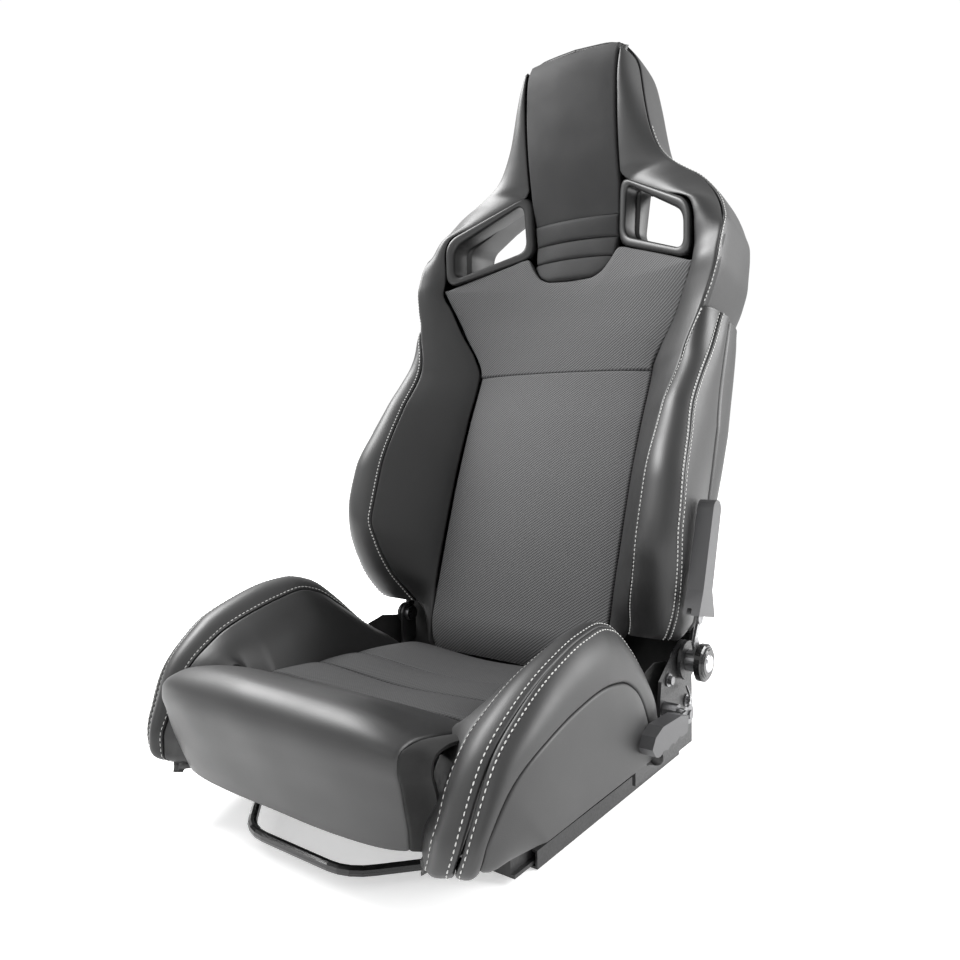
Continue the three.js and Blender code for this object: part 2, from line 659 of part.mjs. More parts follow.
const leverBolt = turned([
  [LEVER_SIDE - 8, 0], [LEVER_SIDE - 8, 12], [LEVER_SIDE - GAP, 12], [LEVER_SIDE - GAP, BOLT_R], [shoulderX, BOLT_R],
  [shoulderX, 13], [TILT_PLATE.x - GAP, 13], [TILT_PLATE.x - GAP, BOLT_R], [KNOB.x + 6, BOLT_R], [KNOB.x + 6, 0],
], PIVOT_Y, PIVOT_Z);
const hingeBolt = turned([
  [hingeArmX - 6, 0], [hingeArmX - 6, 9], [hingeArmX - GAP, 9], [hingeArmX - GAP, BOLT_R], [GAP - HINGE_SIDE, BOLT_R],
  [GAP - HINGE_SIDE, 11], [7 - HINGE_SIDE, 11], [7 - HINGE_SIDE, 0],
], PIVOT_Y, PIVOT_Z);

// The knob is a stepped dish over the end of the bolt, with a bright cap in its middle.
const knob = turned([
  [KNOB.x, BORE_R], [KNOB.x, KNOB.radius], [KNOB.x + 7, KNOB.radius], [KNOB.x + 8.5, 21], [KNOB.x + 8.5, 19.5],
  [KNOB.x + 10, 18.5], [KNOB.x + 10, 17], [KNOB.x + KNOB.length, 16], [KNOB.x + KNOB.length, 11.4],
  [KNOB.x + 7, 11.4], [KNOB.x + 7, BORE_R], [KNOB.x, BORE_R],
], PIVOT_Y, PIVOT_Z, 32);
const knobCap = turned([
  [KNOB.x + 7.4, 0], [KNOB.x + 7.4, 11], [KNOB.x + KNOB.length, 11], [KNOB.x + KNOB.length + 1.5, 9],
  [KNOB.x + KNOB.length + 1.5, 0],
], PIVOT_Y, PIVOT_Z);

add(back, 'back_arm_left', backArm(leverArmX, 24), blackSteel);
add(back, 'back_arm_right', backArm(hingeArmX, 15), blackSteel);
add(back, 'back_cross_tube', crossBar(hingeArmX + PLATE_THICKNESS + GAP, leverArmX - GAP, 56, 302, 8), blackSteel);
add(seat, 'recliner_plate_left', leverSidePlate(), blackSteel);
add(seat, 'recliner_plate_right', hingeSidePlate(), blackSteel);
add(seat, 'pivot_bolt_left', leverBolt, zincSteel);
add(seat, 'pivot_bolt_right', hingeBolt, zincSteel);
add(seat, 'recliner_knob', knob, zincSteel);
add(seat, 'recliner_knob_cap', knobCap, zincSteel);

// A hexagon bolt head with its washer, on the outside of the recliner plate.
function plateBolt(y, z) {
  const face = LEVER_SIDE + PLATE_THICKNESS + GAP;
  const washer = crossBar(face, face + 1.5, y, z, 8, 20);
  return join(washer, crossBar(face + 1, face + 6, y, z, 5.5, 6));
}

add(seat, 'plate_bolt_upper', plateBolt(146, 144), zincSteel);
add(seat, 'plate_bolt_lower', plateBolt(198, 104), zincSteel);

// ---------- levers ----------
// An outline of even width along a bent line of [y, z] points, with a round eye at its first point.
function strip(points, half, eye) {
  const at = points.map(([y, z]) => new THREE.Vector2(y, z));
  const side = (sign) => at.slice(1).map((p, i) => {
    const along = at[Math.min(i + 2, at.length - 1)].clone().sub(at[i]).normalize();
    return [p.x - along.y * half * sign, p.y + along.x * half * sign];
  });
  const heading = THREE.MathUtils.radToDeg(Math.atan2(at[1].y - at[0].y, at[1].x - at[0].x));
  return [...side(1).reverse(), ...arc(at[0].x, at[0].y, eye, heading + 40, heading + 320, 12), ...side(-1)];
}

const TILT_GRIP = { x0: 270, x1: 290 };
const tiltLine = [[AXIS_Y, AXIS_Z], [4, 22], [-20, 46], [-35, 75], [-38, 150]];

function tiltGrip() {
  const outline = [
    [-54, 46], [-50, 76], [-50, 172], ...arc(-38, 172, 12, 160, 20, 8), [-26, 172], [-23, 80], [-6, 50],
  ];
  const sleeve = sidePlate(outline, TILT_GRIP.x0, TILT_GRIP.x1 - TILT_GRIP.x0);
  const slot = sidePlate([[-62, 30], [-45, 75], [-47, 156], [-29, 156], [-26.5, 82], [12, 30]],
    TILT_PLATE.x + TILT_PLATE.jog - 1.5, TILT_PLATE.thickness + 2.5);
  return cut(sleeve, slot);
}

// The arm leaves the hub beside the knob, then steps outwards to clear the bolster.
function tiltArm() {
  const { x: x0, thickness, jog } = TILT_PLATE;
  const [hub, from, to, ...rest] = tiltLine;
  const lower = sidePlate(strip([hub, from], 7, 13), x0, thickness, [[...hub, BORE_R]]);
  const upper = sidePlate(strip([to, ...rest], 7, 7), x0 + jog, thickness);
  const across = new THREE.Vector2(from[1] - to[1], to[0] - from[0]).setLength(6.9);
  const step = (x) => (u, v) => [
    x + jog * v,
    mix(from[0], to[0], mix(-0.05, 1.05, v)) + across.x * (2 * u - 1),
    mix(from[1], to[1], mix(-0.05, 1.05, v)) + across.y * (2 * u - 1),
  ];
  return join(lower, slab(step(x0), step(x0 + thickness), 1, 1), upper);
}

add(back, 'tilt_lever_arm', tiltArm(), zincSteel);
add(back, 'tilt_lever_grip', tiltGrip(), plastic);

const RECLINE_PIN = { y: 135, z: 112, radius: 5 };
const RECLINE_PLATE_X = 273;
const reclineLine = [[RECLINE_PIN.y, RECLINE_PIN.z], [112, 112], [90, 116], [58, 118]];

function reclineGrip() {
  const wave = Array.from({ length: 13 }, (_, i) => [22 + i * 6, 101 + 2 * Math.cos(i * 1.9) + i * 0.3]);
  const outline = [...wave, [104, 104], [106, 122], [86, 128], [40, 130], [22, 124], [14, 113]];
  const grip = sidePlate(outline, 270, 17);
  return cut(grip, sidePlate([[120, 103], [50, 109], [50, 127], [120, 121]], RECLINE_PLATE_X - 0.5, 4));
}

const reclinePin = turned([
  [244.4, 0], [244.4, 9], [262, 9], [262, RECLINE_PIN.radius], [278, RECLINE_PIN.radius], [278, 0],
], RECLINE_PIN.y, RECLINE_PIN.z, 16);
const plateOfLever = sidePlate(strip(reclineLine, 7, 11), RECLINE_PLATE_X, 3,
  [[RECLINE_PIN.y, RECLINE_PIN.z, RECLINE_PIN.radius + 0.4]]);

add(seat, 'recline_pin', reclinePin, zincSteel);
add(seat, 'recline_lever_arm', plateOfLever, zincSteel);
add(seat, 'recline_lever_grip', reclineGrip(), plastic);
add(seat, 'recline_spring', tube([
  [250, 186, 126], [260, 172, 120], [266, 156, 116], [268, 142, 98], [268, 128, 92], [268, 116, 98],
], 1.6, 8, 18), zincSteel);

// ---------- slide handle ----------
const HANDLE = { half: 75, front: -220, z: 21, radius: 5.5, armX: 160, pivotY: -20, pivotZ: 29, eye: 8 };

// A bar through straight legs with rounded corners.
function bentBar(points, radius, bend) {
  const at = points.map((p) => new THREE.Vector3(...p));
  const path = new THREE.CurvePath();
  let from = at[0];
  for (let i = 1; i < at.length - 1; i += 1) {
    const enter = at[i].clone().lerp(at[i - 1], bend / at[i].distanceTo(at[i - 1]));
    const leave = at[i].clone().lerp(at[i + 1], bend / at[i].distanceTo(at[i + 1]));
    path.add(new THREE.LineCurve3(from, enter));
    path.add(new THREE.QuadraticBezierCurve3(enter, at[i], leave));
    from = leave;
  }
  path.add(new THREE.LineCurve3(from, at[at.length - 1]));
  const section = new THREE.Shape().absarc(0, 0, radius, 0, 2 * Math.PI);
  return new THREE.ExtrudeGeometry(section, { steps: 48, extrudePath: path, bevelEnabled: false, curveSegments: 5 });
}

function slideHandle() {
  const { half, front, z, radius, armX, pivotY, pivotZ, eye } = HANDLE;
  const side = [[half, front, z], [armX, -132, z + 2], [armX, pivotY - 4, pivotZ]];
  const mirror = side.map(([x, y, height]) => [-x, y, height]);
  const bar = bentBar([...mirror.reverse(), ...side], radius, 26);
  const pin = (sign) => {
    const [near, far] = [sign * (armX - 6), sign * (RAIL_X - 9 - GAP)];
    return crossBar(Math.min(near, far), Math.max(near, far), pivotY, pivotZ, 4);
  };
  const boss = (x) => crossBar(x - 6, x + 6, pivotY, pivotZ, eye);
  return join(bar, boss(armX), boss(-armX), pin(1), pin(-1));
}

const latchPaw = sidePlate([[-62, 22.2], [-46, 20.8], [-40, 20.8], [-40, 31], [-62, 33]], 166.2, 7);

add(seat, 'slide_handle', slideHandle(), blackSteel);
addPair(seat, 'slide_latch', latchPaw, blackSteel);

// The origin is the middle of the whole seat's footprint.
const box = new THREE.Box3().setFromObject(seat, true);
const middle = box.getCenter(new THREE.Vector3());
seat.position.set(-middle.x, -middle.y, -box.min.z);

export default seat;
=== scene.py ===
"""Looks for the reclining sports seat: upholstery, stitching, mouldings, metalwork, floor, light and camera."""

import json
import math

import bpy
import numpy as np
from mathutils import Matrix, Vector


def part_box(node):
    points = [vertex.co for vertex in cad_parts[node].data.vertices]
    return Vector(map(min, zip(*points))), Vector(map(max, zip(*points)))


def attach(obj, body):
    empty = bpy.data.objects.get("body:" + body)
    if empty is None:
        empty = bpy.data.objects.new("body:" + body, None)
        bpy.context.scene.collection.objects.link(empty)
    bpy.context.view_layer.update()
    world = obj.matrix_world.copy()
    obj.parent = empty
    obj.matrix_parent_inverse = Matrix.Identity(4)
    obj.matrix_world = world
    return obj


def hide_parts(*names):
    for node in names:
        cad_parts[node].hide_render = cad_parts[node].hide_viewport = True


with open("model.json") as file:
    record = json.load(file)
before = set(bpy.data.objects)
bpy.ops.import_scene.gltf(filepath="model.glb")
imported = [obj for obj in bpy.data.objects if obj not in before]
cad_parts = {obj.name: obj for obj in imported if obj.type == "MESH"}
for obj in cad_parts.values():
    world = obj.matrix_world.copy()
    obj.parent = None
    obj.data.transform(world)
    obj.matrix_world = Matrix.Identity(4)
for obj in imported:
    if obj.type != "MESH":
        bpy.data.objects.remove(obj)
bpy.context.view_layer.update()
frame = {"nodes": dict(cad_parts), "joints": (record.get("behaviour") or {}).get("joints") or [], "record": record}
nodes = frame["nodes"]
joints = {joint["name"]: joint for joint in frame["joints"]}

# ---------------------------------------------------------------- frames
# Shapes are drawn in millimetres: x across, y rearwards, z up. The back has a frame of its own, which stands at the
# foot of the lumbar pad and leans back, and its shapes are drawn there with the same axes.
PIVOT_Y, PIVOT_Z = 190.0, 158.0
BACK_Y, BACK_Z = 165.0, 170.0
LEAN = math.radians(18)
GRIP_X = 290.0  # outermost face of the tilt grip
FOOT_PULL, FOOT_BACK, SHOULDER_PULL = 0.34, 9, 0.22
pivot = np.array(joints["recline"]["pos_m"]) * 1000
OFFSET = np.array([GRIP_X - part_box("tilt_lever_grip")[1][0] * 1000, PIVOT_Y - pivot[1], PIVOT_Z - pivot[2]])


def from_back(p):
    """Back-frame points to the drawing frame."""
    c, s = math.cos(LEAN), math.sin(LEAN)
    x, y, z = p[..., 0], p[..., 1], p[..., 2]
    return np.stack([x, BACK_Y + y * c + z * s, BACK_Z - y * s + z * c], -1)


def eased(p):
    """The padding at -x drawn in and back at the foot of the cushion, and drawn in at the shoulder."""
    x, y, z = p[..., 0], p[..., 1], p[..., 2]
    foot = np.clip((-150 - y) / 90, 0, 1) * np.clip((300 - z) / 40, 0, 1)
    shoulder = np.clip(1 - ((z - 655) / 80) ** 2, 0, 1)
    pull = np.clip(-x - 190, 0, None) * FOOT_PULL * foot + np.clip(-x - 205, 0, None) * SHOULDER_PULL * shoulder
    back = FOOT_BACK * foot * np.clip((-x - 185) / 20, 0, 1)
    return p + np.stack([pull, back, 0 * z], -1)


def to_row(p):
    """Drawing-frame millimetres to metres in the row frame."""
    return (p - OFFSET) / 1000


def points(*xyz):
    """Coordinates of any matching shapes, joined into one array of points."""
    return np.stack(np.broadcast_arrays(*[np.asarray(v, float) for v in xyz]), -1)


def rail(stations):
    """A smooth, overshoot-free function through [position, value] stations."""
    xs, ys = np.array(stations, float).T
    step = np.diff(ys) / np.diff(xs)
    slope = np.empty(len(xs))
    slope[0], slope[-1] = step[0], step[-1]
    a, b = step[:-1], step[1:]
    with np.errstate(divide="ignore", invalid="ignore"):
        slope[1:-1] = np.where(a * b <= 0, 0, 2 * a * b / (a + b))

    def at(t):
        t = np.clip(np.asarray(t, float), xs[0], xs[-1])
        i = np.clip(np.searchsorted(xs, t, side="right") - 1, 0, len(xs) - 2)
        w = xs[i + 1] - xs[i]
        s = (t - xs[i]) / w
        return (
            ys[i] * (1 + 2 * s) * (1 - s) ** 2
            + ys[i + 1] * s * s * (3 - 2 * s)
            + w * (slope[i] * s * (1 - s) ** 2 - slope[i + 1] * s * s * (1 - s))
        )

    return at


def mix(a, b, t):
    return a + (b - a) * t


def curve_through(pts):
    """A smooth curve through 3-D points, as a function of 0..1 along its length."""
    pts = np.array(pts, float)
    d = np.r_[0, np.cumsum(np.linalg.norm(np.diff(pts, axis=0), axis=1))]
    d /= d[-1]
    axes = [rail(np.stack([d, pts[:, k]], 1)) for k in range(pts.shape[1])]
    return lambda t: np.stack([f(t) for f in axes], -1)


# ---------------------------------------------------------------- back surfaces
# Each is a measure of the back against height in the back's frame: half widths, depths, and the two stitched seams.
centre_front = rail([
    [0, 10], [100, 11], [200, 14], [295, 21], [375, 30], [450, 27], [517, 21], [572, 19],
    [608, 7], [645, -11], [700, -38], [760, -60], [815, -71], [835, -68], [846, -62],
])
insert_half = rail([[0, 145], [375, 146], [440, 178], [505, 209]])
insert_edge = rail([[0, 8], [100, 9], [200, 12], [295, 20], [375, 30], [440, 8], [505, -24]])
seam_x = rail([
    [0, 165], [25, 183], [50, 194], [85, 205], [125, 212], [295, 212], [375, 217], [440, 236],
    [500, 252], [540, 252], [570, 243], [600, 228], [631, 200], [650, 172], [668, 150], [690, 133],
    [720, 121], [770, 108], [810, 97], [822, 92], [832, 84], [846, 60],
])
seam_y = rail([
    [0, 22], [25, -8], [50, -40], [85, -67], [125, -86], [195, -85], [295, -62], [375, -33],
    [440, -36], [500, -48], [540, -42], [570, -26], [600, -19], [668, -19], [720, -28], [770, -35],
    [808, -37], [821, -40], [832, -49], [846, -64],
])
edge_x = rail([
    [0, 205], [20, 239], [60, 259], [105, 267], [150, 268], [195, 266], [252, 259], [302, 252],
    [345, 250], [425, 249], [440, 251],
])
edge_y = rail([
    [0, 26], [20, -12], [60, -45], [105, -70], [150, -82], [195, -83], [252, -69], [302, -55],
    [345, -36], [393, -13], [425, -4], [440, 0],
])
rear_lower = rail([[0, 56], [60, 68], [165, 78], [280, 100], [350, 110], [405, 103], [440, 90]])
rear_upper = rail([
    [440, 84], [500, 74], [567, 67], [600, 61], [650, 53], [700, 46], [770, 34], [825, 14], [846, -6],
])
yoke_top = rail([[0, 516], [34, 517], [52, 524], [66, 540], [78, 557], [104, 549], [204, 506], [209, 503]])
head_half = rail([[517, 40], [524, 52], [536, 62], [552, 68], [580, 71], [607, 72], [650, 75.5], [846, 75.5]])
HEAD_BASE, HEAD_TOP = 607, 846
YOKE_FOOT, YOKE_HALF, YOKE_SHOULDER = 375, 209, 505
BOLSTER_FOOT, BAND_TOP = 14, 432
BEZEL = [(78, 655), (74, 566), (204, 511), (204, 579)]
DUCT_RISE = math.tan(math.radians(17))


def bezel_y(x, z):
    """Depth of the tilted plane that the harness bezels lie in."""
    return -11 - 0.44 * (x - 140) - 0.32 * (z - 575)


# ---------------------------------------------------------------- materials
def material(name):
    """A new material, with its nodes, links and main shader."""
    m = bpy.data.materials.new(name)
    m.use_nodes = True
    tree = m.node_tree
    return m, tree.nodes, tree.links, tree.nodes["Principled BSDF"]


def node(tree_nodes, kind, **settings):
    """A new node, with settings that name either its inputs or its properties."""
    made = tree_nodes.new(kind)
    for key, value in settings.items():
        if key in made.inputs:
            made.inputs[key].default_value = value
        else:
            setattr(made, key, value)
    return made


def ramp(tree_nodes, stops):
    """A colour ramp through (position, grey or colour) stops."""
    made = tree_nodes.new("ShaderNodeValToRGB")
    elements = made.color_ramp.elements
    for i, (at, value) in enumerate(stops):
        e = elements[i] if i < 2 else elements.new(at)
        e.position = at
        e.color = (*value, 1) if isinstance(value, tuple) else (value, value, value, 1)
    return made


def math_node(tree_nodes, links, operation, a, b=None):
    """The output of a maths node fed by sockets or numbers."""
    made = tree_nodes.new("ShaderNodeMath")
    made.operation = operation
    for socket, value in zip(made.inputs, (a, b)):
        if value is None:
            continue
        if isinstance(value, (int, float)):
            socket.default_value = value
        else:
            links.new(value, socket)
    return made.outputs[0]


def grained(name, tone, rough, grain=900, depth=0.12, sheen=0.0, cloudy=0.12):
    """Moulded or hide-like surface: a fine pebble grain, faint cloudiness in tone and gloss."""
    m, n, links, bsdf = material(name)
    coord = n.new("ShaderNodeTexCoord").outputs["Object"]
    cells = node(n, "ShaderNodeTexVoronoi", Scale=grain)
    fine = node(n, "ShaderNodeTexNoise", Scale=grain * 1.7, Detail=3.0)
    broad = node(n, "ShaderNodeTexNoise", Scale=14.0, Detail=3.0)
    for texture in (cells, fine, broad):
        links.new(coord, texture.inputs["Vector"])
    tint = ramp(n, [(at, tuple(c * (1 + shift) for c in tone)) for at, shift in ((0.3, -cloudy), (0.7, cloudy))])
    links.new(broad.outputs["Fac"], tint.inputs["Fac"])
    links.new(tint.outputs["Color"], bsdf.inputs["Base Color"])
    gloss = ramp(n, [(0.3, rough * 0.92), (0.7, min(1, rough * 1.1))])
    links.new(broad.outputs["Fac"], gloss.inputs["Fac"])
    links.new(gloss.outputs["Color"], bsdf.inputs["Roughness"])
    height = math_node(n, links, "ADD", cells.outputs["Distance"],
                       math_node(n, links, "MULTIPLY", fine.outputs["Fac"], 0.5))
    bump = node(n, "ShaderNodeBump", Strength=depth, Distance=0.0004)
    links.new(height, bump.inputs["Height"])
    links.new(bump.outputs["Normal"], bsdf.inputs["Normal"])
    bsdf.inputs["Sheen Weight"].default_value = sheen
    bsdf.inputs["Sheen Roughness"].default_value = 0.45
    return m


def woven(name, dark, light, pitch=0.0034, sheen=0.15):
    """Twill: pale and dark yarns crossing in diagonal ribs, drawn in the panel's own millimetres."""
    m, n, links, bsdf = material(name)
    uv = n.new("ShaderNodeUVMap")
    uv.uv_map = "cloth"
    split = n.new("ShaderNodeSeparateXYZ")
    links.new(uv.outputs["UV"], split.inputs["Vector"])
    u, v = split.outputs["X"], split.outputs["Y"]
    wobble = node(n, "ShaderNodeTexNoise", Scale=120.0, Detail=2.0)
    links.new(uv.outputs["UV"], wobble.inputs["Vector"])
    jitter = math_node(n, links, "MULTIPLY", wobble.outputs["Fac"], 0.9)

    def wave(ka, kb):
        total = math_node(n, links, "ADD", math_node(n, links, "MULTIPLY", u, ka),
                          math_node(n, links, "MULTIPLY", v, kb))
        total = math_node(n, links, "ADD", total, jitter)
        return math_node(n, links, "MULTIPLY_ADD", math_node(n, links, "SINE", total), 0.5)

    k = 2 * math.pi / pitch
    rib = wave(k * 0.62, -k * 0.8)
    yarn = wave(k * 0.95, k * 1.15)
    fine = node(n, "ShaderNodeTexNoise", Scale=2600.0, Detail=2.0)
    links.new(uv.outputs["UV"], fine.inputs["Vector"])
    both = math_node(n, links, "ADD", math_node(n, links, "MULTIPLY", rib, 0.62),
                     math_node(n, links, "MULTIPLY", yarn, 0.38))
    both = math_node(n, links, "ADD", both, math_node(n, links, "MULTIPLY", fine.outputs["Fac"], 0.5))
    colour = ramp(n, [(0.25, dark), (0.62, tuple(mix(a, b, 0.45) for a, b in zip(dark, light))), (1.0, light)])
    links.new(both, colour.inputs["Fac"])
    links.new(colour.outputs["Color"], bsdf.inputs["Base Color"])
    bump = node(n, "ShaderNodeBump", Strength=0.55, Distance=0.0005)
    links.new(both, bump.inputs["Height"])
    links.new(bump.outputs["Normal"], bsdf.inputs["Normal"])
    bsdf.inputs["Roughness"].default_value = 0.82
    bsdf.inputs["Sheen Weight"].default_value = sheen
    bsdf.inputs["Sheen Roughness"].default_value = 0.5
    return m


def metal(name, tone, rough, streak=0.12, metallic=1.0):
    """Plated or painted steel, with drawn streaks and a little unevenness in gloss."""
    m, n, links, bsdf = material(name)
    coord = n.new("ShaderNodeTexCoord").outputs["Object"]
    stretch = node(n, "ShaderNodeMapping")
    stretch.inputs["Scale"].default_value = (30, 400, 400)
    links.new(coord, stretch.inputs["Vector"])
    lines = node(n, "ShaderNodeTexNoise", Scale=1.0, Detail=4.0)
    links.new(stretch.outputs["Vector"], lines.inputs["Vector"])
    spots = node(n, "ShaderNodeTexNoise", Scale=60.0, Detail=4.0)
    links.new(coord, spots.inputs["Vector"])
    tint = ramp(n, [(0.3, tuple(c * 0.8 for c in tone)), (0.7, tuple(min(1, c * 1.1) for c in tone))])
    links.new(spots.outputs["Fac"], tint.inputs["Fac"])
    links.new(tint.outputs["Color"], bsdf.inputs["Base Color"])
    gloss = ramp(n, [(0.3, max(0.02, rough - streak)), (0.7, rough + streak)])
    links.new(lines.outputs["Fac"], gloss.inputs["Fac"])
    links.new(gloss.outputs["Color"], bsdf.inputs["Roughness"])
    bump = node(n, "ShaderNodeBump", Strength=0.05, Distance=0.0003)
    links.new(lines.outputs["Fac"], bump.inputs["Height"])
    links.new(bump.outputs["Normal"], bsdf.inputs["Normal"])
    bsdf.inputs["Metallic"].default_value = metallic
    return m


VINYL = grained("vinyl", (0.011, 0.011, 0.0112), 0.46)
FINE_CLOTH = grained("fine_cloth", (0.012, 0.012, 0.0124), 0.8, grain=2200, depth=0.3, sheen=0.02)
WEAVE = woven("woven_insert", (0.002, 0.002, 0.002), (0.1, 0.1, 0.102), sheen=0.01)
# The seat insert's twill is the same cloth as the back's, with its colours darkened: painted shade for the insert
# lying low between the bolsters and the back.
SHADED_SEAT_WEAVE = woven("woven_seat_insert_painted_shade", (0.001, 0.001, 0.001), (0.028, 0.028, 0.029), sheen=0.0)
PLASTIC = grained("moulded_plastic", (0.009, 0.009, 0.0092), 0.42, grain=1500, depth=0.06)
GRIP = grained("grip_plastic", (0.05, 0.05, 0.052), 0.42, grain=1300, depth=0.08)
THREAD = grained("thread", (0.4, 0.4, 0.39), 0.7, grain=3500, depth=0.4, sheen=0.3)
PAINT = metal("painted_steel", (0.015, 0.015, 0.0155), 0.4, metallic=0.0)
GLOSS_PAINT = metal("gloss_painted_steel", (0.006, 0.006, 0.0062), 0.16, streak=0.05, metallic=0.0)
ZINC = metal("zinc_steel", (0.22, 0.22, 0.225), 0.34)
BRIGHT = metal("bright_steel", (0.5, 0.5, 0.51), 0.16, streak=0.08)
# Near-black matte cloth for the backrest's foot flap and the sheets beside the recliner plates; it is also laid on
# the vinyl roll gusset, where its darkness is painted shade.
LINING_AND_PAINTED_SHADE = grained("lining", (0.005, 0.005, 0.005), 0.9, grain=1500, depth=0.2)

SLOTS = {
    "vinyl": VINYL, "woven_fabric": WEAVE, "fine_fabric": FINE_CLOTH, "moulded_plastic": PLASTIC,
    "grip_plastic": GRIP, "painted_steel": PAINT, "gloss_painted_steel": GLOSS_PAINT, "zinc_steel": ZINC,
    "bright_steel": BRIGHT,
}
for part in frame["record"]["subparts"]:
    cad = nodes[part["node"]]
    cad.data.materials.clear()
    cad.data.materials.append(SLOTS[part["material_slot"]])


# ---------------------------------------------------------------- panels
rng = np.random.default_rng(7)
WAVES = rng.normal(size=(14, 3)) * 0.035
PHASE = rng.uniform(0, 2 * np.pi, 14)


def unevenness(p, size=1.0):
    """Gentle hand-made waviness, in millimetres."""
    return size * np.sin(p @ WAVES.T + PHASE).sum(-1) / 8


def stations(length, step):
    """0..1 positions along an edge of this length: close together at both ends."""
    near = np.array([0, 0.35, 0.8, 1.4, 2.2, 3.2, 4.6, 6.6])
    near = near[near < length * 0.3]
    count = max(2, int(round((length - 2 * near[-1]) / step)))
    middle = np.linspace(near[-1], length - near[-1], count + 1)
    return np.r_[near[:-1], middle, (length - near[:-1])[::-1]] / length


def mesh_object(name, vertices, faces, mat, body):
    """A smooth-shaded piece that rides on a body."""
    mesh = bpy.data.meshes.new(name)
    mesh.from_pydata([tuple(v) for v in vertices], [], faces)
    mesh.update()
    mesh.polygons.foreach_set("use_smooth", [True] * len(mesh.polygons))
    mesh.materials.append(mat)
    obj = bpy.data.objects.new(name, mesh)
    bpy.context.scene.collection.objects.link(obj)
    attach(obj, body)
    return obj


SHOULDER_WIDTH, SHOULDER_DIP = 26, 1.2  # how far in from a seam the padding still falls off, and by how much


class Panel:
    """One sewn panel: a surface f(u, v) whose named edges roll down into their seams."""

    def __init__(self, name, f, body, mat, slot, face, seams="lrbt", step=5.0, roll=3.2, sink=3.4, crown=0.0,
                 thick=7.0, uneven=0.5, replaces=(), pad=None):
        probe = f(*np.meshgrid(np.linspace(0, 1, 25), np.linspace(0, 1, 25)))
        wide = np.linalg.norm(np.diff(probe, axis=1), axis=2).sum(1).max()
        tall = np.linalg.norm(np.diff(probe, axis=0), axis=2).sum(0).max()
        us, vs = stations(wide, step), stations(tall, step)
        u, v = np.meshgrid(us, vs)
        p = f(u, v)
        self.normal = self.normals(p, face)
        along_u = np.linalg.norm(np.diff(p, axis=1), axis=2)
        along_v = np.linalg.norm(np.diff(p, axis=0), axis=2)
        left = np.c_[np.zeros(len(vs)), np.cumsum(along_u, 1)]
        low = np.r_[np.zeros((1, len(us))), np.cumsum(along_v, 0)]
        self.distance = {"l": left, "r": left[:, -1:] - left, "b": low, "t": low[-1:] - low}
        offset = crown * (1 - (2 * u - 1) ** 2) * (1 - (2 * v - 1) ** 4) + unevenness(p, uneven)
        dip = np.zeros_like(u)
        for edge in seams:
            near = np.clip(self.distance[edge] / roll, 0, 1)
            dip = np.maximum(dip, 1 - np.sqrt(1 - (1 - near) ** 2))
            shoulder = np.clip(self.distance[edge] / SHOULDER_WIDTH, 0, 1)
            offset -= SHOULDER_DIP * (1 - shoulder) ** 2
        self.p = p + self.normal * (offset - dip * sink)[..., None]
        rows, columns = u.shape
        back = self.p - self.normal * thick
        vertices = to_row(eased(np.r_[self.p.reshape(-1, 3), back.reshape(-1, 3)]))
        faces = []
        layer = rows * columns
        flip = self.flip
        for j in range(rows - 1):
            for i in range(columns - 1):
                a = j * columns + i
                quad = (a, a + 1, a + columns + 1, a + columns)
                faces.append(quad[::-1] if flip else quad)
                under = tuple(k + layer for k in quad)
                faces.append(under if flip else under[::-1])
        ring = [(0, i) for i in range(columns)] + [(j, columns - 1) for j in range(1, rows)]
        ring += [(rows - 1, i) for i in range(columns - 2, -1, -1)] + [(j, 0) for j in range(rows - 2, 0, -1)]
        ids = [j * columns + i for j, i in ring]
        for a, b in zip(ids, ids[1:] + ids[:1]):
            quad = (b, a, a + layer, b + layer)
            faces.append(quad[::-1] if flip else quad)
        self.obj = mesh_object(name, vertices, faces, mat, body)
        cloth = self.obj.data.uv_layers.new(name="cloth")
        flat = np.stack([left - left[:, -1:] / 2, low], -1).reshape(-1, 2) / 1000
        flat = np.r_[flat, flat]
        loop = np.empty(len(self.obj.data.loops), int)
        self.obj.data.loops.foreach_get("vertex_index", loop)
        cloth.data.foreach_set("uv", flat[loop].ravel())
        if replaces:
            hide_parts(*replaces)

    def normals(self, p, face):
        """Unit normals of the grid, turned to the side that faces out."""
        n = np.cross(np.gradient(p, axis=1), np.gradient(p, axis=0))
        n /= np.maximum(np.linalg.norm(n, axis=2, keepdims=True), 1e-9)
        self.flip = (n.reshape(-1, 3) @ np.array(face, float)).mean() < 0
        return -n if self.flip else n

    def line(self, edge, distance):
        """Points and normals on the finished panel at a distance from one edge."""
        d = self.distance[edge]
        p, n = self.p, self.normal
        if edge in "bt":
            d, p, n = d.T, p.transpose(1, 0, 2), n.transpose(1, 0, 2)
        out = []
        for row, pts, nrm in zip(d, p, n):
            order = np.argsort(row)
            out.append(np.r_[
                [np.interp(distance, row[order], pts[order, k]) for k in range(3)],
                [np.interp(distance, row[order], nrm[order, k]) for k in range(3)],
            ])
        out = np.array(out)
        return out[:, :3], out[:, 3:]


def mirrored(f, side):
    """The surface f, or its mirror image for side -1."""
    return f if side > 0 else (lambda u, v: f(u, v) * np.array([-1, 1, 1]))


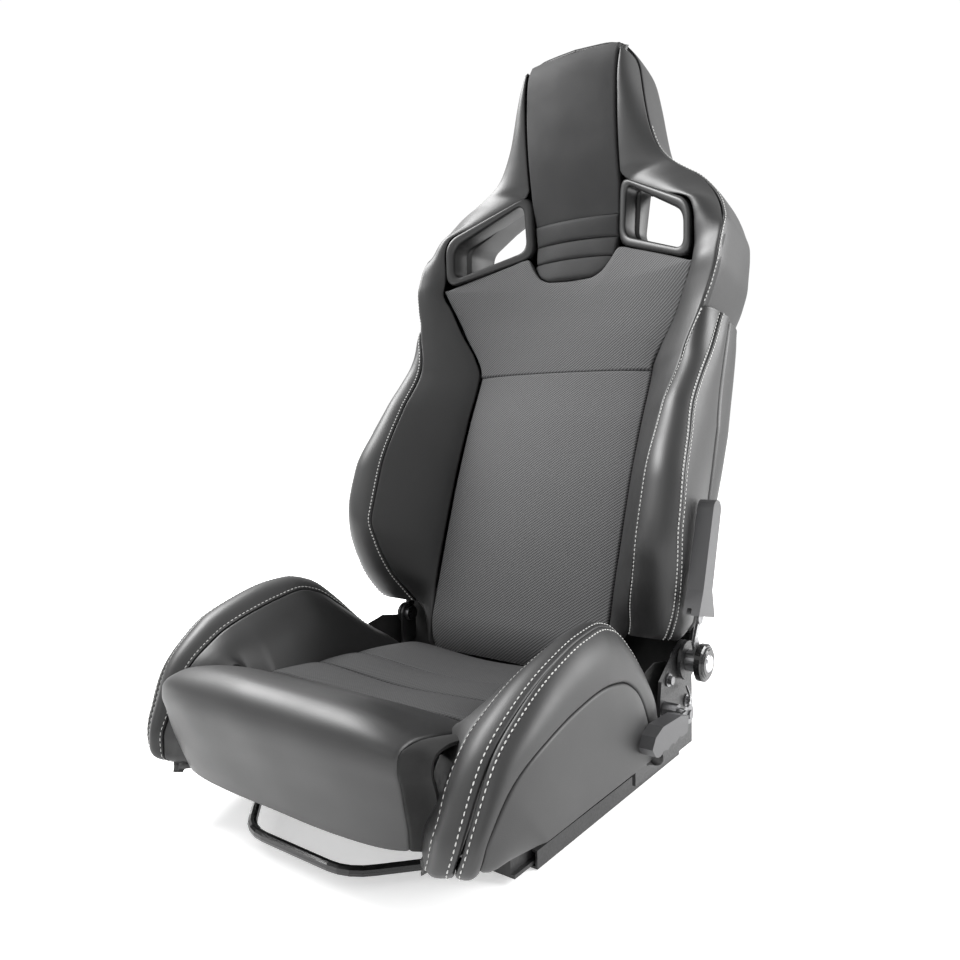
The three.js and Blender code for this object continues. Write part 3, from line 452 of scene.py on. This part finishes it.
def stitches(name, rows, body, pitch=5.3, length=3.6, width=0.85, start=4.0, end=4.0):
    """Rows of separate stitches along (points, normals) lines, as one piece."""
    ring = [(math.cos(a), math.sin(a)) for a in np.linspace(0, 2 * np.pi, 6, endpoint=False)]
    profile = [(-1.0, 0.0), (-0.82, 0.62), (-0.4, 0.97), (0.4, 0.97), (0.82, 0.62), (1.0, 0.0)]
    vertices, faces = [], []
    for pts, nrm in rows:
        d = np.r_[0, np.cumsum(np.linalg.norm(np.diff(pts, axis=0), axis=1))]
        for at in np.arange(start, d[-1] - end, pitch):
            here = np.array([np.interp(at, d, pts[:, k]) for k in range(3)])
            ahead = np.array([np.interp(at + 1, d, pts[:, k]) for k in range(3)])
            up = np.array([np.interp(at, d, nrm[:, k]) for k in range(3)])
            along = ahead - here
            along /= max(np.linalg.norm(along), 1e-9)
            up -= along * (up @ along)
            up /= max(np.linalg.norm(up), 1e-9)
            side = np.cross(along, up)
            base = len(vertices)
            for s, r in profile[1:-1]:
                lift = 0.25 + 0.35 * (1 - s * s)
                for c, w in ring:
                    vertices.append(here + along * s * length / 2 + side * c * r * width
                                    + up * (lift + w * r * width * 0.7))
            vertices.append(here - along * length / 2)
            vertices.append(here + along * length / 2)
            k = len(ring)
            for j in range(len(profile) - 3):
                for i in range(k):
                    a, b = base + j * k + i, base + j * k + (i + 1) % k
                    faces.append((a, b, b + k, a + k))
            first, last = base + k * (len(profile) - 2), base + k * (len(profile) - 2) + 1
            for i in range(k):
                faces.append((first, base + (i + 1) % k, base + i))
                top = base + (len(profile) - 3) * k
                faces.append((last, top + i, top + (i + 1) % k))
    return mesh_object(name, to_row(eased(np.array(vertices))), faces, THREAD, body)


# ---------------------------------------------------------------- back: middle panels
def lumbar(u, v):
    """The lower insert, which curls rearwards at its foot."""
    z = mix(-50, YOKE_FOOT, v)
    s = 2 * u - 1
    crown = 9 * (1 - s * s)
    curl = 0.007 * np.clip(5 - z, 0, None) ** 2
    y = mix(centre_front(z), insert_edge(z), s * s) - crown + curl
    return from_back(points(s * insert_half(z), y, z))


def yoke(u, v):
    """The upper insert, out to the shoulders and up to the head bands."""
    s = 2 * u - 1
    z = mix(YOKE_FOOT, yoke_top(np.abs(s) * YOKE_HALF), v)
    x = s * insert_half(mix(YOKE_FOOT, YOKE_SHOULDER, v))
    side = np.minimum(1, np.abs(x) / YOKE_HALF) ** 2
    y = mix(centre_front(z), insert_edge(np.minimum(z, YOKE_SHOULDER)), side) - 6 * (1 - side)
    return from_back(points(x, y, z))


FORWARD = (0, -1, 0.1)
SIDES = ((1, "left"), (-1, "right"))
Panel("lumbar_cloth", lumbar, "backrest", WEAVE, "woven_fabric", FORWARD, replaces=["lumbar_pad"], pad=0.8,
      thick=12)
Panel("yoke_cloth", yoke, "backrest", WEAVE, "woven_fabric", FORWARD, replaces=["yoke_pad"], pad=0.8, thick=12,
      step=3.0)

# The lowest band starts at the yoke's curved edge instead of a level seam.
HEAD_BANDS = [("lower", None, 550), ("middle", 550, 578), ("upper", 578, HEAD_BASE)]


def head_band(z0, z1):
    """One of the stitched bands across the foot of the head, between two heights."""
    def f(u, v):
        s = 2 * u - 1
        if z0 is None:
            x = s * mix(69, 68, v)
            z = mix(yoke_top(np.abs(s) * 69) + 1.5, z1, v)
        else:
            z = mix(z0, z1, v)
            x = s * head_half(z)
        return from_back(points(x, centre_front(z) - 6 * (1 - s * s) - 2.5, z))

    return f


for number, (place, z0, z1) in enumerate(HEAD_BANDS, 1):
    Panel(f"head_band_cloth_{number}", head_band(z0, z1), "backrest", FINE_CLOTH, "fine_fabric", FORWARD, crown=2.5,
          roll=4, sink=4, replaces=[f"head_band_{place}"], pad=0.8)


def head_centre(u, v):
    """The middle panel of the head, up to its rounded top edge."""
    s = 2 * u - 1
    z = mix(HEAD_BASE, 845 - 7 * s * s, v)
    crown = 5 * (1 - s * s) * np.sin(np.pi * np.clip(v, 0, 1))
    return from_back(points(s * head_half(z), centre_front(z) - crown, z))


Panel("head_cloth", head_centre, "backrest", FINE_CLOTH, "fine_fabric", FORWARD, replaces=["head_pad"], pad=0.8)

# ---------------------------------------------------------------- back: inner side panels
# Matched stations up the panel: inner boundary (x, y, z), height of the stitched seam beside it, roundness.
INNER = [[147, 14, -44, 2, 1.1]]
INNER += [[insert_half(z) + 0.5, insert_edge(z), z, z, 1.1] for z in (14, 60, 120, 200, 300, 375)]
INNER += [[insert_half(z) + 0.5, insert_edge(z), z, z, 1.15] for z in (405, 440, 475, 502)]
INNER += [[x, bezel_y(x, z) + 1, z, zo, 1.4] for x, z, zo in (
    (208, 520, 524), (208, 556, 556), (205, 573, 570), (197, 586, 583), (184, 594, 597), (160, 605, 615),
    (130, 621, 634), (100, 639, 649), (87, 649, 659))]
INNER += [[77, centre_front(z) + 1, z, zo, r] for z, zo, r in (
    (660, 667, 1.7), (676, 681, 2.0), (700, 702, 2.2), (750, 750, 2.4), (800, 796, 2.4), (822, 812, 2.4),
    (830, 823, 2.3))]
HEAD_CORNER = [(98, -37, 808), (93, -40, 821), (85, -49, 832), (75, -60, 839), (50, -66, 843), (0, -67, 846)]

inner = np.array(INNER)
inner_d = np.r_[0, np.cumsum(np.linalg.norm(np.diff(inner[:, :3], axis=0), axis=1)
                             + np.abs(np.diff(inner[:, 3])))]
inner_d /= inner_d[-1]
inner_at = [rail(np.stack([inner_d, inner[:, k]], 1)) for k in range(5)]


def inner_side(u, v):
    """u from the insert, bezel or head out to the stitched seam; v from the foot to the top of the head."""
    x0, y0, z0, zo, power = [f(v) for f in inner_at]
    x1, y1 = seam_x(zo), seam_y(zo)
    bulge = 7 * np.sin(np.pi * u ** 0.8) * np.clip((zo - 20) / 80, 0, 1)
    near_head = np.clip((zo - 640) / 60, 0, 1)
    bulge *= 1 - 0.6 * near_head
    return from_back(points(mix(x0, x1, u), mix(y0, y1, u ** power) - bulge, mix(z0, zo, u)))


# ---------------------------------------------------------------- back: bolster bands and outer sides
def band(u, v):
    """The band between the stitched seam and the outer edge: a parabola at each height."""
    z = mix(BOLSTER_FOOT, BAND_TOP + 6 * u, v)
    x1, y1, x2, y2 = seam_x(z), seam_y(z), edge_x(z), edge_y(z)
    reach = np.hypot(x2 - x1, y2 - y1)
    cx, cy = (x1 + x2) / 2 + reach * 0.12, (y1 + y2) / 2 - reach * 0.5
    return from_back(points((1 - u) ** 2 * x1 + 2 * u * (1 - u) * cx + u * u * x2,
                            (1 - u) ** 2 * y1 + 2 * u * (1 - u) * cy + u * u * y2, z))


def rear_edge(z):
    """x and y of the edge where the outer side meets the rear cover."""
    return np.minimum(edge_x(z), 253), rail([[0, 30], [60, 26], [300, 24], [440, 30]])(z)


def outer_side(u, v):
    """The outer side of the bolster, back to the rear cover."""
    z = mix(BOLSTER_FOOT, BAND_TOP + 6, v)
    x1, y1 = edge_x(z), edge_y(z)
    x2, y2 = rear_edge(z)
    return from_back(points(mix(x1, x2, u) + 4 * np.sin(np.pi * u), mix(y1, y2, u), z))


# ---------------------------------------------------------------- back: shoulder and head rim
SEAM_HEIGHTS = [
    BAND_TOP + 3, 445, 470, 500, 525, 550, 570, 585, 600, 615, 631, 645, 660, 675, 690, 710, 740, 770, 795,
]
seam_path = [(seam_x(z), seam_y(z), z) for z in SEAM_HEIGHTS] + HEAD_CORNER
rim_at = curve_through(seam_path)


rim_across = rail([[0, 0], [0.12, 0.55], [0.3, 0.95], [0.55, 1], [0.75, 0.55], [0.9, -0.5], [1, -1.6]])
rim_back = rail([[0, 0], [0.12, 0.02], [0.3, 0.2], [0.55, 0.62], [0.75, 0.92], [0.9, 1.0], [1, 1.02]])


def rim(u, v):
    """u from the seam round to the rear; v from the shoulder seam up to the middle of the head."""
    p = rim_at(v)
    ahead = rim_at(np.clip(v + 0.004, 0, 1)) - rim_at(np.clip(v - 0.004, 0, 1))
    out = np.stack([ahead[..., 2], np.zeros_like(v), -ahead[..., 0]], -1)
    out /= np.linalg.norm(out, axis=-1, keepdims=True)
    z = np.clip(p[..., 2], 440, HEAD_TOP)
    depth = rear_upper(z) - p[..., 1]
    swell = mix(4, 1.5, np.clip((z - 590) / 80, 0, 1))
    return from_back(p + out * (rim_across(u) * swell)[..., None] + points(0, rim_back(u) * depth, 0))


SHOULDER_STITCHED = 0.62  # the share of the rim's seam that shows stitches, from the shoulder up
for side, name in SIDES:
    Panel(f"inner_side_{name}", mirrored(inner_side, side), "backrest", VINYL, "vinyl", (-0.5 * side, -1, 0.1),
          replaces=[f"{n}_{name}" for n in ("head_side", "shoulder_top", "shoulder_side")], pad=0.8, uneven=0.8)
    front = Panel(f"bolster_band_{name}", mirrored(band, side), "backrest", VINYL, "vinyl", (0.3 * side, -1, 0),
                  replaces=[f"back_bolster_{name}"], pad=0.8, seams="lrt")
    outer = Panel(f"bolster_side_{name}", mirrored(outer_side, side), "backrest", VINYL, "vinyl", (side, 0, 0),
                  pad=0.8)
    shoulder = Panel(f"shoulder_rim_{name}", mirrored(rim, side), "backrest", VINYL, "vinyl", (side, 0, 0.3),
                     replaces=[f"shoulder_wrap_{name}"], pad=0.8, seams="lb")
    stitches(f"back_stitching_{name}", [front.line("l", 4.5), front.line("r", 4.2), outer.line("l", 4.2)], "backrest")
    seam, up = shoulder.line("l", 4.5)
    reach = int(len(seam) * SHOULDER_STITCHED)
    stitches(f"shoulder_stitching_{name}", [(seam[:reach], up[:reach])], "backrest")


# ---------------------------------------------------------------- back: rear covers
SQUARENESS = 0.42  # 1 is round in plan, and towards 0 is square


def lower_cover(u, v):
    """The rear of the lower back, wrapped round from one outer side to the other."""
    z = mix(30, BAND_TOP + 5, v)
    x, y = rear_edge(z)
    angle = (u - 0.5) * np.pi
    across = np.sign(angle) * np.abs(np.sin(angle)) ** SQUARENESS
    depth = np.clip(np.cos(angle), 0, 1) ** SQUARENESS
    return from_back(points(across * (x + 1), mix(y, rear_lower(z), depth), z))


Panel("lower_rear_cover", lower_cover, "backrest", VINYL, "vinyl", (0, 1, 0), replaces=["back_cover"], thick=3,
      seams="lrt", step=7)


FLAP_PATH = curve_through([(0, 226, 182), (0, 222, 160), (0, 212, 132), (0, 200, 108), (0, 190, 104)])


def lower_flap(u, v):
    """The cloth that closes the foot of the backrest, from under the rear cover forwards to behind the pad."""
    x = mix(-238, 238, u)
    path = FLAP_PATH(v)
    return points(x, path[..., 1] + 1.5 * np.sin(x / 17), path[..., 2])


Panel("lower_flap", lower_flap, "backrest", LINING_AND_PAINTED_SHADE, "vinyl", (0, 1, 0), thick=2, step=8, seams="", uneven=1.0)

CENTRE = np.array([140, 576])  # middle of the harness opening
CORNER_POINTS = 9


def opening(margin, radius, narrow=0.0):
    """The outline of a harness opening drawn in by a margin, with round corners, and narrowed at its sides."""
    corners = []
    for x, z in BEZEL:
        dx, dz = np.sign(x - CENTRE[0]), np.sign(z - CENTRE[1])
        corners.append((x - dx * (margin + narrow), z - dz * margin * (0.75 if dx * dz > 0 else 1.25)))
    corners = np.array(corners, float)
    outline = []
    for i in range(4):
        here, before, after = corners[i], corners[i - 1], corners[(i + 1) % 4]
        enter = mix(here, before, radius / np.linalg.norm(here - before))
        leave = mix(here, after, radius / np.linalg.norm(here - after))
        for t in np.linspace(0, 1, CORNER_POINTS):
            outline.append((1 - t) ** 2 * enter + 2 * t * (1 - t) * here + t * t * leave)
        end = mix(after, here, radius / np.linalg.norm(here - after))
        outline += [mix(outline[-1], end, t) for t in (0.25, 0.5, 0.75)]
    return np.array(outline)


def rise(x, z, y):
    """How much higher the opening is at depth y than at the bezel."""
    return DUCT_RISE * (y - bezel_y(x, z))


def inside(outline, x, z):
    """Whether a point lies within a closed outline."""
    hit = np.zeros(x.shape, bool)
    for (x0, z0), (x1, z1) in zip(outline, np.roll(outline, -1, axis=0)):
        crosses = (z0 > z) != (z1 > z)
        with np.errstate(divide="ignore", invalid="ignore"):
            hit ^= crosses & (x < (x1 - x0) * (z - z0) / (z1 - z0) + x0)
    return hit


REAR_SHELL = 0.003  # metres


def upper_rear():
    """The rear of the shoulders and head, with the two openings left out."""
    hole = opening(2, 14)
    rows = np.linspace(0, 1, 90)
    edge = rim(np.ones_like(rows), rows)
    c, s = math.cos(LEAN), math.sin(LEAN)
    local = np.stack([edge[:, 0], (edge[:, 1] - BACK_Y) * c - (edge[:, 2] - BACK_Z) * s,
                      (edge[:, 1] - BACK_Y) * s + (edge[:, 2] - BACK_Z) * c], -1)
    columns = np.linspace(-1, 1, 91)
    grid = np.array([[(x * e[0], e[1] + 5 * (1 - x ** 4), e[2]) for x in columns] for e in local])
    vertices = to_row(eased(from_back(grid.reshape(-1, 3))))
    n = len(columns)
    faces = []
    for j in range(len(rows) - 1):
        for i in range(n - 1):
            middle = (grid[j, i] + grid[j + 1, i + 1]) / 2
            level = middle[2] - rise(abs(middle[0]), CENTRE[1], middle[1])
            if inside(hole, np.array(abs(middle[0])), np.array(level)):
                continue
            faces.append((j * n + i, j * n + n + i, j * n + n + i + 1, j * n + i + 1))
    obj = mesh_object("upper_rear_cover", vertices, faces, VINYL, "backrest")
    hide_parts("shoulder_cover")
    thick = obj.modifiers.new("thickness", "SOLIDIFY")
    thick.thickness = REAR_SHELL
    thick.offset = -1


upper_rear()


def loft(name, rings, body, mat, side):
    """A closed skin over a ring of matched closed outlines."""
    n = len(rings[0])
    vertices = to_row(np.concatenate(rings))
    faces = []
    for j in range(len(rings)):
        a, b = j * n, ((j + 1) % len(rings)) * n
        for i in range(n):
            k = (i + 1) % n
            quad = (a + i, a + k, b + k, b + i)
            faces.append(quad if side > 0 else quad[::-1])
    return mesh_object(name, vertices, faces, mat, body)


def bezel_ring(side, steps):
    """Matched outlines. Each step is margin, corner radius, depth, whether that is from the rear, and narrowing."""
    rings = []
    for margin, radius, depth, at_rear, *narrow in steps:
        o = opening(margin, radius, *narrow)
        z = o[:, 1]
        for _ in range(6):  # the rise depends on the depth, and the depth on the height
            y = (rear_upper(z) if at_rear else bezel_y(o[:, 0], o[:, 1])) + depth
            z = o[:, 1] + rise(o[:, 0], o[:, 1], y)
        rings.append(from_back(points(o[:, 0] * side, y, z)))
    return rings


FRONT_BEZEL = [
    (-1.5, 22, 9, 0), (-1.5, 22, 0, 0), (-0.8, 21.5, -2.6, 0), (0.8, 21, -4.6, 0), (3, 20, -5.4, 0),
    (7.4, 17.5, -4.8, 0), (9.4, 16.5, -3.6, 0), (10.4, 16, -1.6, 0), (10.8, 15.5, 1, 0), (10, 14, 30, 0),
    (9.6, 13.5, 31.5, 0, 1), (9.6, 13, 32.5, 0, 5), (9.6, 12.5, 35, 0, 6), (8.6, 12, -3, 1, 9), (8.4, 12, 1, 1, 9),
    (7.4, 13, 2, 1, 8), (5, 15, 2, 1), (5, 15, 30, 0), (7, 15, 10, 0),
]
REAR_BEZEL = [
    (6.4, 13, -3, 1), (6.4, 13, 4, 1), (5.6, 13.5, 6, 1), (4, 14, 6.8, 1), (0, 16, 6.6, 1), (-2, 17, 5, 1),
    (-3, 17.5, 2, 1), (-3, 17.5, -6, 1),
]
for side, name in SIDES:
    for place, steps in (("", FRONT_BEZEL), ("rear_", REAR_BEZEL)):
        trim = loft(f"harness_{place}trim_{name}", bezel_ring(side, steps), "backrest", PLASTIC,
                    side)
        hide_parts(f"harness_{place}bezel_{name}")


# ---------------------------------------------------------------- cushion
cushion_top = rail([
    [-268, 160], [-258, 184], [-235, 199], [-205, 196], [-120, 160], [-45, 152], [25, 147], [142, 134],
])
INSERT_HALF = 154
SEAMS = [-119, -45, 25, 142]
UP = (0, -0.1, 1)


def insert(y0, y1):
    """One channel of the seat insert, dished across its width."""
    def f(u, v):
        y = mix(y0, y1, v)
        s = 2 * u - 1
        sag = 9 * (1 - s * s) ** 2
        return points(s * INSERT_HALF, y, cushion_top(y) + 9 * np.sin(np.pi * v) ** 0.8 * (1 - s ** 4) - sag)

    return f


# The seat channels take the darkened twill, whose darker colours are painted shade.
for name, y0, y1 in zip(("front", "middle", "rear"), SEAMS, SEAMS[1:]):
    Panel(f"seat_cloth_{name}", insert(y0, y1), "seat_base", SHADED_SEAT_WEAVE, "woven_fabric", UP, roll=5, sink=5,
          replaces=[f"seat_insert_{name}"], pad=0.8, thick=25)

ROLL = [  # up the front and over: middle y, z, then end y, z
    (-246, 75, -231, 76), (-251, 92, -236, 95), (-257, 117, -244, 121), (-265, 146, -250, 146),
    (-268, 165, -254, 160), (-264, 182, -253, 171), (-252, 195, -245, 179), (-236, 200, -230, 181),
    (-206, 195, -203, 177), (-160, 176, -160, 166), (-119, 159, -120, 156),
]
roll_middle = curve_through([(0, *r[:2]) for r in ROLL])
roll_end = curve_through([(0, *r[2:]) for r in ROLL])
roll_half = rail([[0, 168], [0.12, 174], [0.3, 177.5], [0.8, 177.5], [1, 158]])


def thigh_roll(u, v):
    """The front roll, tapering into its two ends."""
    s = 2 * u - 1
    p = mix(roll_middle(v), roll_end(v), (np.abs(s) ** 4.5)[..., None])
    return points(s * roll_half(v), p[..., 1], p[..., 2])


Panel("thigh_roll_cover", thigh_roll, "seat_base", VINYL, "vinyl", (0, -1, 0.5), replaces=["thigh_roll"], pad=0.9,
      thick=16, seams="lrt", roll=4.5, sink=4.5, uneven=0.8)


def roll_gusset(u, v):
    """The recessed end of the roll, out to the bolster, drawn in the near-black lining material as painted shade for
    the recess.
    """
    w = v * 0.86
    a, half = roll_end(w), roll_half(w)
    return points(mix(half, 199, u), a[..., 1] + 20 * u + 5 * np.sin(np.pi * u), a[..., 2] - 5 * u)


# Seams of the cushion bolster in side view, each with its x along the way.
inner_seam = curve_through([
    (182, -226, 72), (192, -238, 74), (201, -250, 83), (206, -249, 102), (208, -238, 126), (208, -229, 146),
    (208, -214, 165), (208, -196, 181), (208, -175, 193), (208, -134, 211), (208, -90, 223), (208, -54, 230),
    (208, -22, 234), (208, 10, 225), (206, 48, 200), (204, 88, 168), (200, 122, 138), (198, 136, 78),
])
outer_seam = curve_through([
    (218, -226, 72), (228, -241, 76), (237, -253, 90), (243, -249, 112), (246, -239, 138), (248, -216, 176),
    (248, -173, 206), (248, -117, 231), (247, -58, 245), (245, -24, 247), (243, 7, 240), (243, 46, 210),
    (244, 77, 172), (245, 99, 136), (244, 108, 78),
])
arch_seam = curve_through([
    (243, -222, 76), (253, -237, 88), (260, -238, 106), (265, -226, 133), (268, -207, 154), (270, -168, 173),
    (269, -104, 188), (269, -51, 194), (268, -13, 189), (267, 20, 172), (266, 42, 146), (265, 56, 112),
    (264, 62, 80),
])


def between(low, high, bulge, sideways):
    """A panel from one seam to another, swelling outwards."""
    def f(u, v):
        a, b = low(v), high(v)
        mid = np.sin(np.pi * u)
        middle = (a + b) / 2
        away = middle - np.array([middle[..., 0].mean(), -70, 90])
        away[..., 0] = 0
        away /= np.maximum(np.linalg.norm(away, axis=-1, keepdims=True), 1e-9)
        swell = away * bulge + np.array([sideways, 0, 0])
        return mix(a, b, u[..., None]) + swell * mid[..., None]

    return f


def bolster_inner(u, v):
    """The inner face of the cushion bolster, from beside the insert or the roll up to its seam."""
    top = inner_seam(v)
    front = np.clip((0.36 - v) / 0.12, 0, 1)
    y = np.clip(top[..., 1] + mix(8, 18, front), -238, 138)
    y = mix(y, top[..., 1] + 34, front)
    z = mix(np.minimum(cushion_top(y) - 14, top[..., 2] - 3), top[..., 2] - 8, front)
    x = mix(mix(156, 172, np.clip((-110 - y) / 40, 0, 1)), 168, front)
    p = mix(points(x, y, z), top, u[..., None])
    bulge = np.sin(np.pi * u) * (1 - front)
    p[..., 0] -= 5 * bulge
    p[..., 2] += 6 * bulge * np.clip((top[..., 2] - 100) / 80, 0, 1)
    return p


def bolster_outer(u, v):
    """The outer side below the arched seam."""
    top = arch_seam(v)
    low = points(mix(250, 269, np.clip(v * 5, 0, 1)), mix(-216, 60, v), mix(80, 86, np.clip(v * 6, 0, 1)))
    return mix(top, low, u[..., None]) + points(3 * np.sin(np.pi * u), 0, 0)


for side, name in SIDES:
    Panel(f"cushion_inner_{name}", mirrored(bolster_inner, side), "seat_base", VINYL, "vinyl",
          (-side, 0, 0.6), pad=0.8, seams="r", thick=5)
    front = Panel(f"cushion_band_{name}", mirrored(between(inner_seam, outer_seam, 7, 0), side), "seat_base", VINYL,
                  "vinyl", (0.2 * side, -0.5, 1), replaces=[f"seat_bolster_{name}"], pad=0.85)
    outer = Panel(f"cushion_outer_{name}", mirrored(between(outer_seam, arch_seam, 4, 5), side), "seat_base", VINYL,
                  "vinyl", (side, -0.3, 0.6), pad=0.85)
    Panel(f"cushion_side_{name}", mirrored(bolster_outer, side), "seat_base", VINYL, "vinyl", (side, 0, 0),
          replaces=[f"seat_skirt_{name}"], pad=0.7, seams="l")
    # The roll gusset, vinyl like its neighbours, takes the near-black lining: painted shade for the recessed end of
    # the roll.
    Panel(f"roll_gusset_{name}", mirrored(roll_gusset, side), "seat_base", LINING_AND_PAINTED_SHADE, "vinyl",
          (0.3 * side, -1, 0.4), pad=0.6, seams="l", thick=4)
    stitches(f"cushion_stitching_{name}", [front.line("l", 3.6), front.line("r", 6), outer.line("l", 6)], "seat_base",
             pitch=6.2, length=4.2, width=0.65)


# ---------------------------------------------------------------- dark lining beside the recliner plates
LINING_X = 226
lining_front = curve_through([(0, 112, 86), (0, 112, 148), (0, 150, 160)])
lining_rear = curve_through([(0, 213, 86), (0, 213, 112), (0, 205, 150)])


def lining_plate(u, v):
    """A slightly waved upright sheet between the cushion bolster and the recliner plate."""
    p = mix(lining_front(v), lining_rear(v), u[..., None])
    return points(LINING_X - 1.5 * np.cos(7 * v), p[..., 1], p[..., 2])


for side, name in SIDES:
    Panel(f"lining_{name}", mirrored(lining_plate, side), "seat_base", LINING_AND_PAINTED_SHADE, "vinyl", (side, 0, 0), seams="",
          thick=1.6, step=8)


# ---------------------------------------------------------------- floor, light, camera
def area_light(name, at, target, size, power, tall=None):
    """A soft box at one point that faces another, in metres and watts."""
    data = bpy.data.lights.new(name, "AREA")
    data.shape = "RECTANGLE"
    data.size = size
    data.size_y = tall or size
    data.energy = power
    obj = bpy.data.objects.new(name, data)
    bpy.context.scene.collection.objects.link(obj)
    obj.location = at
    direction = np.array(target, float) - np.array(at, float)
    obj.rotation_euler = Vector(direction).to_track_quat("-Z", "Y").to_euler()
    return obj


FLOOR_HALF, FLOOR_Z = 12.0, -0.0005


def floor():
    """A plain pale floor that glows a little, so that it joins the background."""
    mesh = bpy.data.meshes.new("floor")
    corners = [(x * FLOOR_HALF, y * FLOOR_HALF, FLOOR_Z) for x, y in ((-1, -1), (1, -1), (1, 1), (-1, 1))]
    mesh.from_pydata(corners, [], [(0, 1, 2, 3)])
    obj = bpy.data.objects.new("floor", mesh)
    bpy.context.scene.collection.objects.link(obj)
    m, n, links, bsdf = material("floor")
    grain = node(n, "ShaderNodeTexNoise", Scale=3.0)
    tint = ramp(n, [(0.3, 0.9), (0.7, 0.92)])
    links.new(grain.outputs["Fac"], tint.inputs["Fac"])
    links.new(tint.outputs["Color"], bsdf.inputs["Base Color"])
    bsdf.inputs["Roughness"].default_value = 0.8
    bsdf.inputs["Emission Color"].default_value = (1, 1, 1, 1)
    bsdf.inputs["Emission Strength"].default_value = 0.45
    mesh.materials.append(m)


floor()
area_light("top", (-1.6, -0.35, 2.2), (0, 0, 0.4), 1.6, 115, 1.1)
area_light("side", (2.3, 1.5, 1.3), (0.2, 0, 0.4), 1.5, 100, 1.5)
area_light("front", (-0.2, -2.8, 1.6), (0, 0, 0.5), 0.9, 7)
world = bpy.data.worlds.new("studio")
world.use_nodes = True
background = world.node_tree.nodes["Background"]
background.inputs["Color"].default_value = (1, 1, 1, 1)
background.inputs["Strength"].default_value = 1.02
bpy.context.scene.world = world
bpy.context.scene.view_settings.view_transform = "Standard"

CAMERA_AT = (661.8, -767.7, 471.0)  # in the drawing frame
FOCAL_LENGTH = 36 * 847.5 / 960
AZIMUTH, ELEVATION, TILT = math.radians(37.09), math.radians(4.9), math.radians(-1.27)
camera = bpy.data.objects.new("camera", bpy.data.cameras.new("camera"))
bpy.context.scene.collection.objects.link(camera)
bpy.context.scene.camera = camera
camera.data.sensor_width = 36
camera.data.lens = FOCAL_LENGTH
camera.location = tuple(to_row(np.array(CAMERA_AT)))
backward = Vector((math.sin(AZIMUTH) * math.cos(ELEVATION), -math.cos(AZIMUTH) * math.cos(ELEVATION),
                   math.sin(ELEVATION)))
right = (-backward).cross(Vector((0, 0, 1))).normalized()
up = right.cross(-backward)
tilted_right = right * math.cos(TILT) + up * math.sin(TILT)
tilted_up = up * math.cos(TILT) - right * math.sin(TILT)
turn = Matrix((tilted_right, tilted_up, backward)).transposed()
camera.rotation_euler = turn.to_euler()
